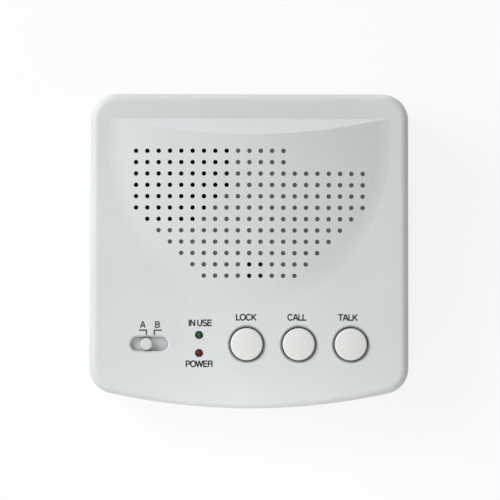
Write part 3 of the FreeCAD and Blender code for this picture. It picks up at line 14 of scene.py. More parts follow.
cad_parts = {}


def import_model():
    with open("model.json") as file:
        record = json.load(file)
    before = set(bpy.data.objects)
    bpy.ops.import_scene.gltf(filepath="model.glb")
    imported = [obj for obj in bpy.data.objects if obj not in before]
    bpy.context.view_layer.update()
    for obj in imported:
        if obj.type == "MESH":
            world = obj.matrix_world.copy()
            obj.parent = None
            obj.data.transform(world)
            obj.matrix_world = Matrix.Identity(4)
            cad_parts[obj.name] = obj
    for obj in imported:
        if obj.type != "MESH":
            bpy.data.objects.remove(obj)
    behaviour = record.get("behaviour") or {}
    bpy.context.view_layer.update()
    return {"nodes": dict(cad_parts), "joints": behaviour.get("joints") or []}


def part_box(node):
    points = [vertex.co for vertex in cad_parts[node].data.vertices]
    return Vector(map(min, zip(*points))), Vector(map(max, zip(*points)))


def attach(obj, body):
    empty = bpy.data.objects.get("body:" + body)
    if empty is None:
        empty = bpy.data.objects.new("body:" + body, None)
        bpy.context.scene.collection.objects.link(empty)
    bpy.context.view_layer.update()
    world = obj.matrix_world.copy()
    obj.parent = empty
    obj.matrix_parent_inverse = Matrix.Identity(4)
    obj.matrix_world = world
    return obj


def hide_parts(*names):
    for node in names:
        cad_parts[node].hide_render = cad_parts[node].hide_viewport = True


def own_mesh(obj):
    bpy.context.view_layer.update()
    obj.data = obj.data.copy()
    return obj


LOG = logging.getLogger("desk_intercom")
MM = 0.001
CAPITAL_HEIGHT = 718
NOISE_MIDDLE = 0.5

Colour = tuple[float, float, float]
Number = Union[int, float]
Place = tuple[float, float, float]
Point = tuple[float, float]
Span = tuple[float, float]
Stroke = tuple[Point, ...]

WHITE: Colour = (1.0, 1.0, 1.0)
ALONG_X: Place = (1.0, 0.0, 0.0)
ALONG_Y: Place = (0.0, 1.0, 0.0)
ALONG_Z: Place = (0.0, 0.0, 1.0)


class Body(Enum):
    """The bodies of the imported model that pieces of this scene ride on."""

    HOUSING = "housing"
    SPEAKER_DIAPHRAGM = "speaker_diaphragm"


def linear(red: Number, green: Number, blue: Number) -> Colour:
    """A colour as it is seen on screen, 0 to 255, as Blender's linear colour.

    Args:
        red: The red share.
        green: The green share.
        blue: The blue share.

    Returns:
        The linear colour.
    """
    shares = [value / 255 for value in (red, green, blue)]
    return tuple(s / 12.92 if s <= 0.04045 else ((s + 0.055) / 1.055) ** 2.4 for s in shares)


def toned(colour: Colour, factor: float, lift: float = 0.0) -> Colour:
    """A colour made darker or lighter.

    Args:
        colour: The colour.
        factor: What each of its shares is multiplied by.
        lift: What is added after that.

    Returns:
        The new colour.
    """
    return tuple(share * factor + lift for share in colour)


class Value:
    """A number that changes over a surface: a node's socket that can stand in an expression."""

    def __init__(self, shader: "Shader", socket: bpy.types.NodeSocket) -> None:
        """Keeps the socket and the shader that it belongs to."""
        self.shader = shader
        self.socket = socket

    def math(self, operation: str, *others: Union["Value", Number], first: bool = True) -> "Value":
        """Adds one Math node.

        Args:
            operation: The Math node's operation.
            others: The other numbers of the operation.
            first: Whether this value comes before the others.

        Returns:
            The node's result.
        """
        numbers = [self, *others] if first else [*others, self]
        node = self.shader.add("ShaderNodeMath", {"operation": operation}, dict(enumerate(numbers)))
        return Value(self.shader, node.outputs[0])

    def __add__(self, other: Union["Value", Number]) -> "Value":
        """This value plus another."""
        return self.math("ADD", other)

    def __radd__(self, other: Number) -> "Value":
        """A number plus this value."""
        return self.math("ADD", other, first=False)

    def __sub__(self, other: Union["Value", Number]) -> "Value":
        """This value less another."""
        return self.math("SUBTRACT", other)

    def __rsub__(self, other: Number) -> "Value":
        """A number less this value."""
        return self.math("SUBTRACT", other, first=False)

    def __mul__(self, other: Union["Value", Number]) -> "Value":
        """This value times another."""
        return self.math("MULTIPLY", other)

    def __rmul__(self, other: Number) -> "Value":
        """A number times this value."""
        return self.math("MULTIPLY", other, first=False)

    def __truediv__(self, other: Union["Value", Number]) -> "Value":
        """This value divided by another."""
        return self.math("DIVIDE", other)

    def __abs__(self) -> "Value":
        """This value without its sign."""
        return self.math("ABSOLUTE")

    def wrapped(self, step: Number) -> "Value":
        """What is left of this value after whole steps, from 0 to the step."""
        return self.math("FLOORED_MODULO", step)

    def rising(self, low: Number, high: Number) -> "Value":
        """A soft step from 0 to 1.

        Args:
            low: Where the step starts.
            high: Where the step ends.

        Returns:
            The step.
        """
        settings = {"interpolation_type": "SMOOTHSTEP", "clamp": True}
        inputs = {"Value": self, "From Min": low, "From Max": high, "To Min": 0.0, "To Max": 1.0}
        node = self.shader.add("ShaderNodeMapRange", settings, inputs)
        return Value(self.shader, node.outputs["Result"])


class Shader:
    """The node tree of a material or of the world, with a short way to add each kind of node."""

    MIX_SHARE, MIX_FIRST, MIX_SECOND, MIX_RESULT = 0, 6, 7, 2

    def __init__(self, owner: Union[bpy.types.Material, bpy.types.World]) -> None:
        """Starts the tree with the surface, or the background, that it comes with.

        Args:
            owner: The material or the world.
        """
        owner.use_nodes = True
        self.owner = owner
        self.tree = owner.node_tree
        self.surface = next(node for node in self.tree.nodes if node.outputs)

    def add(self, kind: str, settings: Optional[dict[str, Any]] = None,
            inputs: Optional[dict[Union[str, int], Any]] = None) -> bpy.types.Node:
        """Adds one node.

        Args:
            kind: The node's type.
            settings: Its settings, which are set first.
            inputs: Its sockets' values or links, by socket name or number.

        Returns:
            The node.
        """
        node = self.tree.nodes.new(kind)
        for name, setting in (settings or {}).items():
            setattr(node, name, setting)
        for name, content in (inputs or {}).items():
            self.feed(node.inputs[name], content)
        return node

    def feed(self, socket: bpy.types.NodeSocket, content: Any) -> None:
        """Sets a socket to a number or a colour, or links it.

        Args:
            socket: The socket.
            content: A value, an output socket, a number or a colour.
        """
        if isinstance(content, Value):
            self.tree.links.new(content.socket, socket)
        elif isinstance(content, bpy.types.NodeSocket):
            self.tree.links.new(content, socket)
        elif isinstance(content, tuple) and socket.type == "RGBA":
            socket.default_value = (*content, 1.0)
        else:
            socket.default_value = content

    def dress(self, **inputs: Any) -> None:
        """Feeds the Principled surface; an underscore in a name stands for a space."""
        for name, content in inputs.items():
            self.feed(self.surface.inputs[name.replace("_", " ")], content)

    def place(self) -> bpy.types.NodeSocket:
        """The place on the object, in metres, in the frame of the model at rest."""
        return self.add("ShaderNodeTexCoord").outputs["Object"]

    def vector(self, operation: str, first: Any, second: Any = None) -> bpy.types.Node:
        """Adds one Vector Math node.

        Args:
            operation: The node's operation.
            first: Its first vector.
            second: Its second vector, for an operation that has two.

        Returns:
            The node.
        """
        inputs = {0: first} if second is None else {0: first, 1: second}
        return self.add("ShaderNodeVectorMath", {"operation": operation}, inputs)

    def along(self, direction: Place) -> Value:
        """How far the place lies along a direction.

        Args:
            direction: A unit vector.

        Returns:
            The distance in metres.
        """
        node = self.vector("DOT_PRODUCT", self.place(), direction)
        return Value(self, node.outputs["Value"])

    def from_axis(self, point: Place, axis: Place) -> Value:
        """How far the place lies from a straight line.

        Args:
            point: A point of the line.
            axis: The line's unit vector.

        Returns:
            The distance in metres.
        """
        away = self.vector("SUBTRACT", self.place(), point)
        turned = self.vector("CROSS_PRODUCT", away.outputs["Vector"], axis)
        length = self.vector("LENGTH", turned.outputs["Vector"])
        return Value(self, length.outputs["Value"])

    def noise(self, grain: float, detail: float = 2.0, stretch: Place = (1.0, 1.0, 1.0)) -> Value:
        """Soft noise.

        Args:
            grain: The size of one grain, in metres.
            detail: How many finer layers it has.
            stretch: How much finer it is along each axis.

        Returns:
            The noise, around 0.5.
        """
        scaled = self.vector("MULTIPLY", self.place(), stretch)
        node = self.add("ShaderNodeTexNoise", {},
                        {"Vector": scaled.outputs["Vector"], "Scale": 1 / grain, "Detail": detail})
        return Value(self, node.outputs["Fac"])

    def seen(self) -> Value:
        """Whether a ray comes from the camera, or by a mirror or through glass.

        Returns:
            1 for such a ray and 0 for any other.
        """
        path = self.add("ShaderNodeLightPath").outputs
        camera, glossy, transmission = (Value(self, path[f"Is {kind} Ray"])
                                        for kind in ("Camera", "Glossy", "Transmission"))
        return camera.math("MAXIMUM", glossy).math("MAXIMUM", transmission)

    def openness(self, reach: float, samples: int = 12) -> Value:
        """How open the place is, from 0 deep in a hole to 1 on a free face.

        Args:
            reach: How far off a wall still counts, in metres.
            samples: How many ways the node looks.

        Returns:
            The openness.
        """
        node = self.add("ShaderNodeAmbientOcclusion", {"samples": samples}, {"Distance": reach})
        return Value(self, node.outputs["AO"])

    def blend(self, share: Union[Value, Number], first: Any, second: Any) -> bpy.types.NodeSocket:
        """Mixes two colours.

        Args:
            share: How much of the second.
            first: The first colour or colour socket.
            second: The second colour or colour socket.

        Returns:
            The mixed colour.
        """
        inputs = {self.MIX_SHARE: share, self.MIX_FIRST: first, self.MIX_SECOND: second}
        node = self.add("ShaderNodeMix", {"data_type": "RGBA"}, inputs)
        return node.outputs[self.MIX_RESULT]

    def relief(self, height: Value, depth: float, strength: float = 1.0) -> bpy.types.NodeSocket:
        """A bump.

        Args:
            height: The relief, from 0 to 1.
            depth: The relief's real depth, in metres.
            strength: How much of it shows.

        Returns:
            The bumped normal.
        """
        inputs = {"Strength": strength, "Distance": depth, "Height": height}
        return self.add("ShaderNodeBump", {}, inputs).outputs["Normal"]


@dataclass(frozen=True)
class Finish:
    """What every finish has."""

    name: str
    colour: Colour
    roughness: float

    def material(self) -> bpy.types.Material:
        """Builds the finish.

        Returns:
            The material.
        """
        shader = Shader(bpy.data.materials.new(self.name))
        shader.dress(Base_Color=self.colour, Roughness=self.roughness)
        self.paint(shader)
        return shader.owner

    def paint(self, shader: Shader) -> None:
        """Adds what this finish has beyond its colour and roughness."""


@dataclass(frozen=True)
class MouldedPlastic(Finish):
    """Plastic from a mould with a fine eroded texture, a little uneven in tone; it can carry
    painted shade in its hollows.
    """

    grain: float = 0.35 * MM
    depth: float = 0.06 * MM
    drift: float = 0.04
    # How strongly painted shade darkens holes, recesses and gaps beside other parts, 0 for none.
    hollow_shade: float = 0.0
    drift_size: float = 45 * MM
    drift_span: Span = (0.35, 0.65)
    sheen_size: float = 12 * MM
    sheen_swing: float = 0.16
    fleck_coarseness: float = 2.5
    fleck_span: Span = (0.40, 0.70)
    fleck_share: float = 0.45
    fleck_shade: float = 0.9
    hollow_shade_reach: float = 2.5 * MM
    hollow_shade_span: Span = (0.0, 0.7)
    hollow_shade_colour: Colour = linear(30, 30, 30)

    def paint(self, shader: Shader) -> None:
        """Adds relief, a slow drift of tone, flecks, a handling sheen and painted shade in holes,
        recesses and gaps.

        Args:
            shader: The finish's node tree.
        """
        texture = shader.noise(self.grain, detail=3.0)
        drift = shader.noise(self.drift_size, detail=1.0).rising(*self.drift_span)
        sheen = shader.noise(self.sheen_size, detail=4.0) - NOISE_MIDDLE
        tint = shader.blend(drift, self.colour, toned(self.colour, 1 - self.drift))
        fleck = shader.noise(self.grain * self.fleck_coarseness).rising(*self.fleck_span)
        tint = shader.blend(fleck * self.fleck_share, tint, toned(self.colour, self.fleck_shade))
        # Painted shade: the colour darkens where the place lies deep in a hole, a recess or a gap
        # beside another part.
        if self.hollow_shade:
            hollow_shade_mask = 1 - shader.openness(self.hollow_shade_reach).rising(*self.hollow_shade_span)
            tint = shader.blend(hollow_shade_mask * self.hollow_shade, tint, self.hollow_shade_colour)
        shader.dress(Base_Color=tint, Roughness=sheen * self.sheen_swing + self.roughness,
                     Normal=shader.relief(texture, self.depth))


@dataclass(frozen=True)
class SelectorPlastic(Finish):
    """The selector's plastic: a pale knob on a grey slide."""

    knob_colour: Colour = WHITE
    normal: Place = ALONG_Z
    slide_top: float = 0.0
    knob_edge: Span = (0.05 * MM, 0.15 * MM)
    grain: float = 0.35 * MM
    depth: float = 0.06 * MM
    bump: float = 0.6
    wear_size: float = 1.5 * MM
    wear_stretch: Place = (0.2, 1.0, 1.0)
    wear_span: Span = (0.55, 0.75)
    wear_share: float = 0.4
    wear_tone: float = 1.25
    # Painted shade near the slot's walls: how far it reaches, its span, its share and its tone.
    wall_shade_reach: float = 1.8 * MM
    wall_shade_span: Span = (0.0, 0.8)
    wall_shade_share: float = 0.7
    wall_shade_tone: float = 0.4

    def paint(self, shader: Shader) -> None:
        """Adds the two tones, apart at the slide's upper face, wear, painted shade near the slot's
        walls and the texture.

        Args:
            shader: The finish's node tree.
        """
        low, high = (self.slide_top + edge for edge in self.knob_edge)
        knob = shader.along(self.normal).rising(low, high)
        scuff = shader.noise(self.wear_size, detail=3.0, stretch=self.wear_stretch)
        wear = scuff.rising(*self.wear_span) * self.wear_share
        slide = shader.blend(wear, self.colour, toned(self.colour, self.wear_tone))
        # Painted shade: the slide is darkened near the walls of the slot it sits in.
        wall_shade = 1 - shader.openness(self.wall_shade_reach).rising(*self.wall_shade_span)
        slide = shader.blend(wall_shade * self.wall_shade_share, slide, toned(self.colour, self.wall_shade_tone))
        texture = shader.noise(self.grain, detail=3.0)
        shader.dress(Base_Color=shader.blend(knob, slide, self.knob_colour),
                     Normal=shader.relief(texture, self.depth, self.bump))


@dataclass(frozen=True)
class TintedLamp(Finish):
    """The tinted epoxy of a lamp: deep at the rim, with a painted highlight lighter over its
    middle.
    """

    # The painted highlight: its lighter colour here, its radius further down.
    highlight_colour: Colour = WHITE
    point: Place = (0.0, 0.0, 0.0)
    axis: Place = ALONG_Z
    highlight_radius: float = 0.9 * MM
    rim_span: Span = (0.3, 1.4)
    swirl_size: float = 0.6 * MM
    swirl_share: float = 0.5
    swirl_swing: float = 0.1
    coat: float = 0.15
    coat_roughness: float = 0.05
    specular: float = 0.15

    def paint(self, shader: Shader) -> None:
        """Adds a painted highlight over the middle, faint swirls and a clear gloss.

        Args:
            shader: The finish's node tree.
        """
        # Painted highlight: lighter near the axis, out to the highlight's radius, and the plain
        # tint towards the rim.
        low, high = (self.highlight_radius * edge for edge in self.rim_span)
        rim = shader.from_axis(self.point, self.axis).rising(low, high)
        swirl = shader.noise(self.swirl_size)
        highlight_tint = shader.blend(swirl * self.swirl_share, self.highlight_colour, self.colour)
        shader.dress(Base_Color=shader.blend(rim, highlight_tint, self.colour), Coat_Weight=self.coat,
                     Coat_Roughness=self.coat_roughness, Specular_IOR_Level=self.specular,
                     Roughness=swirl * self.swirl_swing + self.roughness)


@dataclass(frozen=True)
class PrintedInk(Finish):
    """Pad-printed ink, thin and a little uneven."""

    thin_size: float = 0.5 * MM
    thin_span: Span = (0.55, 0.85)
    thin_lift: float = 0.05
    grain: float = 0.2 * MM
    depth: float = 0.01 * MM
    bump: float = 0.4

    def paint(self, shader: Shader) -> None:
        """Adds thin spots and a fine grain.

        Args:
            shader: The finish's node tree.
        """
        thin = shader.noise(self.thin_size, detail=3.0).rising(*self.thin_span)
        pale = toned(self.colour, 1.0, self.thin_lift)
        shader.dress(Base_Color=shader.blend(thin, self.colour, pale),
                     Normal=shader.relief(shader.noise(self.grain), self.depth, self.bump))


@dataclass(frozen=True)
class Rubber(Finish):
    """Matt rubber with a dusty bloom."""

    bloom_size: float = 4 * MM
    bloom_span: Span = (0.45, 0.8)
    bloom_tone: float = 1.6
    bloom_lift: float = 0.01
    grain: float = 0.4 * MM
    depth: float = 0.05 * MM
    bump: float = 0.5

    def paint(self, shader: Shader) -> None:
        """Adds the bloom and a pebbled relief.

        Args:
            shader: The finish's node tree.
        """
        bloom = shader.noise(self.bloom_size, detail=4.0).rising(*self.bloom_span)
        pale = toned(self.colour, self.bloom_tone, self.bloom_lift)
        pebbles = shader.noise(self.grain, detail=3.0)
        shader.dress(Base_Color=shader.blend(bloom, self.colour, pale),
                     Normal=shader.relief(pebbles, self.depth, self.bump))


@dataclass(frozen=True)
class PlatedMetal(Finish):
    """Plated or rolled metal with fine drawn lines and dull patches."""

    stretch: Place = (1.0, 1.0, 12.0)
    line_size: float = 0.6 * MM
    line_swing: float = 0.2
    patch_size: float = 5 * MM
    patch_span: Span = (0.45, 0.75)
    patch_swing: float = 0.12
    patch_tone: float = 0.75
    depth: float = 0.01 * MM
    bump: float = 0.5

    def paint(self, shader: Shader) -> None:
        """Adds the metal, its lines and its patches.

        Args:
            shader: The finish's node tree.
        """
        lines = shader.noise(self.line_size, detail=3.0, stretch=self.stretch)
        patch = shader.noise(self.patch_size, detail=3.0).rising(*self.patch_span)
        tint = shader.blend(patch, self.colour, toned(self.colour, self.patch_tone))
        swing = lines * self.line_swing + patch * self.patch_swing
        shader.dress(Base_Color=tint, Metallic=1.0, Roughness=swing + self.roughness,
                     Normal=shader.relief(lines, self.depth, self.bump))


@dataclass(frozen=True)
class Flecked(Finish):
    """A matt body with flecks of another tone, such as paper pulp, ferrite or laminate."""

    fleck_colour: Colour = WHITE
    grain: float = 0.5 * MM
    fleck_span: Span = (0.5, 0.7)
    swing: float = 0.2
    depth: float = 0.05 * MM
    bump: float = 0.6

    def paint(self, shader: Shader) -> None:
        """Adds the flecks and a rough relief.

        Args:
            shader: The finish's node tree.
        """
        fleck = shader.noise(self.grain, detail=4.0)
        tint = shader.blend(fleck.rising(*self.fleck_span), self.colour, self.fleck_colour)
        shader.dress(Base_Color=tint, Roughness=fleck * self.swing + self.roughness,
                     Normal=shader.relief(fleck, self.depth, self.bump))


@dataclass(frozen=True)
class Banded(Finish):
    """Regular bands along one direction, such as wound wire, laminations or a printed sleeve."""

    band_colour: Colour = WHITE
    pitch: float = 0.5 * MM
    share: float = 0.5
    direction: Place = ALONG_Z
    depth: float = 0.08 * MM
    metallic: float = 0.0
    edge: float = 0.12
    wander_size: float = 6 * MM
    wander_share: float = 0.3
    scuff_size: float = 2 * MM
    scuff_swing: float = 0.2
    bump: float = 0.7

    def paint(self, shader: Shader) -> None:
        """Adds the bands, their relief and a little wander.

        Args:
            shader: The finish's node tree.
        """
        wander = shader.noise(self.wander_size) * (self.pitch * self.wander_share)
        turn = (shader.along(self.direction) + wander).wrapped(self.pitch) / self.pitch
        ridge = abs(turn - 0.5) * 2.0
        band = ridge.rising(self.share - self.edge, self.share + self.edge)
        scuff = shader.noise(self.scuff_size, detail=3.0)
        shader.dress(Base_Color=shader.blend(band, self.colour, self.band_colour),
                     Metallic=self.metallic, Roughness=scuff * self.scuff_swing + self.roughness,
                     Normal=shader.relief(1 - ridge, self.depth, self.bump))


@dataclass(frozen=True)
class CappedGlass(Finish):
    """A clear glass tube between two metal caps, along the X axis."""

    middle: float = 0.0
    half_glass: float = 5.0 * MM
    cap_edge: float = 0.1 * MM
    cap_colour: Colour = linear(190, 188, 180)
    glass_alpha: float = 0.35
    scuff_size: float = 0.8 * MM
    scuff_swing: float = 0.15

    def paint(self, shader: Shader) -> None:
        """Adds the caps, the clear middle and fine scuffs.

        Args:
            shader: The finish's node tree.
        """
        away = abs(shader.along(ALONG_X) - self.middle)
        cap = away.rising(self.half_glass, self.half_glass + self.cap_edge)
        scuff = shader.noise(self.scuff_size, detail=3.0)
        shader.dress(Base_Color=shader.blend(cap, self.colour, self.cap_colour), Metallic=cap,
                     Alpha=cap * (1 - self.glass_alpha) + self.glass_alpha,
                     Roughness=scuff * self.scuff_swing + self.roughness)


@dataclass
class FacePanel:
    """The tilted face of the set, on which legends are printed."""

    case: bpy.types.Object
    press_axis: Vector
    reach: float = 100 * MM

    def __post_init__(self) -> None:
        """Works out the face's own directions and a tree of the case's surface."""
        self.normal = -self.press_axis.normalized()
        self.across = Vector(ALONG_X)
        self.up = self.normal.cross(self.across)
        self.tree = BVHTree.FromObject(self.case, bpy.context.evaluated_depsgraph_get())

    def level(self, point: Vector) -> float:
        """How high a point lies square to the face."""
        return point.dot(self.normal)

    def centre(self, node: str) -> Vector:
        """A node's middle, from its box."""
        low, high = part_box(node)
        return (low + high) / 2

    def frame(self, point: Vector, offset: Point) -> Matrix:
        """A frame on the surface near a point.

        Args:
            point: The point.
            offset: How far to go across and up the face, in metres.

        Returns:
            The frame: x across, y up the face, z out of it, its origin on the surface.
        """
        above = point + self.across * offset[0] + self.up * offset[1] + self.normal * self.reach
        spot = self.tree.ray_cast(above, -self.normal)[0]
        return Matrix.Translation(spot) @ self.turn()

    def turn(self) -> Matrix:
        """The turn from the model's directions to the face's own."""
        return Matrix((self.across, self.up, self.normal)).transposed().to_4x4()


def arc(centre: Point, radii: Point, start: Number, end: Number, steps: int = 12) -> Stroke:
    """A piece of an upright ellipse.

    Args:
        centre: Its centre.
        radii: Its radius across and its radius up.
        start: The angle that it starts at, in degrees.
        end: The angle that it ends at.
        steps: How many straight pieces it has.

    Returns:
        Its points.
    """
    turns = [math.radians(start + (end - start) * step / steps) for step in range(steps + 1)]
    return tuple((centre[0] + radii[0] * math.cos(turn), centre[1] + radii[1] * math.sin(turn))
                 for turn in turns)


@dataclass(frozen=True)
class Glyph:
    """One capital of a plain upright letter, in units of which a capital is CAPITAL_HEIGHT high."""

    advance: float
    strokes: tuple[Stroke, ...] = ()


GLYPHS = {
    " ": Glyph(278),
    "A": Glyph(667, (((64, 0), (314, 718)), ((604, 0), (354, 718)), ((150, 232), (518, 232)))),
    "B": Glyph(667, (((124, 0), (124, 718)), ((124, 388), (400, 388)),
                     ((124, 668), *arc((400, 528), (140, 140), 90, -90), (124, 388)),
                     ((124, 388), *arc((400, 219), (177, 169), 90, -90), (124, 50)))),
    "C": Glyph(722, (arc((368, 359), (276, 328), 36, 324, 24),)),
    "E": Glyph(667, (((600, 668), (136, 668), (136, 50), (616, 50)), ((136, 372), (572, 372)))),
    "I": Glyph(278, (((140, 0), (140, 718)),)),
    "K": Glyph(667, (((126, 0), (126, 718)), ((126, 240), (596, 718)), ((280, 396), (606, 0)))),
    "L": Glyph(556, (((126, 718), (126, 50), (537, 50)),)),
    "N": Glyph(722, (((124, 0), (124, 718)), ((596, 0), (596, 718)), ((124, 700), (596, 18)))),
    "O": Glyph(778, (arc((389, 359), (300, 328), 0, 360, 28),)),
    "P": Glyph(667, (((136, 0), (136, 718)),
                     ((136, 668), *arc((400, 494), (172, 174), 90, -90), (136, 320)))),
    "R": Glyph(722, (((138, 0), (138, 718)),
                     ((138, 668), *arc((430, 514), (180, 154), 90, -90), (138, 360)),
                     ((430, 360), (540, 320), (572, 230), (585, 90), (628, 0)))),
    "S": Glyph(667, ((*arc((334, 520), (220, 167), 24, 270, 16),
                      *arc((334, 192), (236, 161), 84, -156, 16)),)),
    "T": Glyph(611, (((14, 668), (597, 668)), ((305, 0), (305, 668)))),
    "U": Glyph(722, (((129, 718), *arc((361, 269), (232, 238), 180, 360), (593, 718)),)),
    "W": Glyph(944, (((62, 718), (262, 0)), ((262, 0), (472, 718)),
                     ((472, 718), (682, 0)), ((682, 0), (882, 718)))),
}


@dataclass
class Ink:
    """Flat strokes of ink, gathered as one thin mesh."""

    half_width: float
    height: float = 0.03 * MM
    sink: float = 0.02 * MM
    closing_share: float = 0.1
    mitre_limit: float = 0.4
    vertices: list[Place] = field(default_factory=list)
    faces: list[tuple[int, ...]] = field(default_factory=list)

    def draw(self, stroke: Stroke) -> None:
        """Draws one stroke of even width; one that ends where it starts is closed.

        Args:
            stroke: The points along its middle.
        """
        closed = math.dist(stroke[0], stroke[-1]) < self.half_width * self.closing_share
        points = [Vector(point) for point in (stroke[:-1] if closed else stroke)]
        count = len(points)
        base = len(self.vertices)
        for index, point in enumerate(points):
            side = self.side(points, index, closed)
            top, bottom = self.height, -self.sink
            for edge, level in ((side, top), (-side, top), (-side, bottom), (side, bottom)):
                self.vertices.append((*(point + edge), level))
        for index in range(count if closed else count - 1):
            here, after = base + 4 * index, base + 4 * ((index + 1) % count)
            for corner in range(4):
                last = (corner + 1) % 4
                self.faces.append((here + corner, here + last, after + last, after + corner))
        if not closed:
            self.faces.append(tuple(base + corner for corner in (3, 2, 1, 0)))
            self.faces.append(tuple(base + 4 * (count - 1) + corner for corner in range(4)))

    def side(self, points: list[Vector], index: int, closed: bool) -> Vector:
        """The way from a point of a stroke to its left edge, mitred at a corner.

        Args:
            points: The stroke's points.
            index: Which point.
            closed: Whether the stroke is closed.

        Returns:
            The way to the edge.
        """
        count = len(points)
        before = points[index] - points[index - 1] if closed or index > 0 else None
        following = points[(index + 1) % count]
        after = following - points[index] if closed or index < count - 1 else None
        ways = [way.normalized() for way in (before, after) if way is not None and way.length > 0]
        normals = [Vector((-way.y, way.x)) for way in ways]
        middle = sum(normals, Vector((0.0, 0.0))).normalized()
        return middle * (self.half_width / max(middle.dot(normals[0]), self.mitre_limit))

    def mesh(self, name: str) -> bpy.types.Mesh:
        """The strokes as a mesh.

        Args:
            name: The mesh's name.

        Returns:
            The mesh.
        """
        mesh = bpy.data.meshes.new(name)
        mesh.from_pydata(self.vertices, [], self.faces)
        return mesh


@dataclass(frozen=True)
class Word:
    """One printed word and its place beside a node's middle."""

    text: str
    node: str
    offset: Point
    width: float
    height: float = 2.8 * MM
    half_stroke: float = 76.0
    tracking: float = -75.0

    def ink(self) -> Ink:
        """Fits the word's strokes to its width and height, around its middle.

        Returns:
            The ink.
        """
        strokes, start = [], 0.0
        for letter in self.text:
            glyph = GLYPHS[letter]
            strokes += [[(start + x, y) for x, y in stroke] for stroke in glyph.strokes]
            start += glyph.advance + self.tracking
        half = self.half_stroke / CAPITAL_HEIGHT * self.height
        lines = [x for stroke in strokes for x, _ in stroke]
        middle, reach = (min(lines) + max(lines)) / 2, max(lines) - min(lines)
        across, up = (self.width - 2 * half) / reach, self.height / CAPITAL_HEIGHT
        ink = Ink(half)
        for stroke in strokes:
            ink.draw(tuple(((x - middle) * across, (y - CAPITAL_HEIGHT / 2) * up)
                           for x, y in stroke))
        return ink


@dataclass(frozen=True)
class Pointer:
    """One printed line that leads from a letter to the selector."""

    text: str
    node: str
    offset: Point
    corners: Stroke
    line_width: float = 0.65 * MM

    def ink(self) -> Ink:
        """Draws the line's one stroke.

        Returns:
            The ink.
        """
        ink = Ink(self.line_width / 2)
        ink.draw(self.corners)
        return ink


@dataclass
class Legends:
    """The printed words and lines on the face."""

    panel: FacePanel
    word_colour: Colour = linear(10, 10, 13)
    mark_colour: Colour = linear(62, 64, 68)
    words: tuple[Word, ...] = (
        Word("LOCK", "lock_button_cap", (-0.2 * MM, 11.8 * MM), 9.2 * MM),
        Word("CALL", "call_button_cap", (-0.7 * MM, 11.8 * MM), 8.8 * MM),
        Word("TALK", "talk_button_cap", (-1.4 * MM, 11.8 * MM), 9.1 * MM),
        Word("IN USE", "in_use_lamp", (0.6 * MM, 5.2 * MM), 10.6 * MM),
        Word("POWER", "power_lamp", (0.1 * MM, -4.9 * MM), 12.1 * MM),
    )
    selector_marks: tuple[Union[Word, Pointer], ...] = (
        Word("A", "selector_slider", (-1.6 * MM, 8.6 * MM), 2.6 * MM),
        Word("B", "selector_slider", (4.9 * MM, 8.6 * MM), 2.3 * MM),
        Pointer("channel_a_line", "selector_slider", (0.0, 5.0 * MM),
                ((-3.3 * MM, 1.1 * MM), (0.0, 1.1 * MM), (0.0, -1.0 * MM))),
        Pointer("channel_b_line", "selector_slider", (3.5 * MM, 5.0 * MM),
                ((3.3 * MM, 1.1 * MM), (0.0, 1.1 * MM), (0.0, -1.0 * MM))),
    )

    def build(self) -> int:
        """Prints every legend.

        Returns:
            How many pieces there are.
        """
        dark = PrintedInk("legend_ink", self.word_colour, 0.5).material()
        faint = PrintedInk("legend_ink_faint", self.mark_colour, 0.5).material()
        for marks, paint in ((self.words, dark), (self.selector_marks, faint)):
            for mark in marks:
                self.print_on(mark, paint)
        return len(self.words) + len(self.selector_marks)

    def print_on(self, mark: Union[Word, Pointer], paint: bpy.types.Material) -> None:
        """Lays a mark on the face as one piece.

        Args:
            mark: The mark.
            paint: Its ink.
        """
        name = f"legend_{mark.text.lower().replace(' ', '_')}"
        mesh = mark.ink().mesh(name)
        mesh.transform(self.panel.frame(self.panel.centre(mark.node), mark.offset))
        mesh.materials.append(paint)
        piece = bpy.data.objects.new(name, mesh)
        bpy.context.scene.collection.objects.link(piece)
        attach(piece, Body.HOUSING.value)


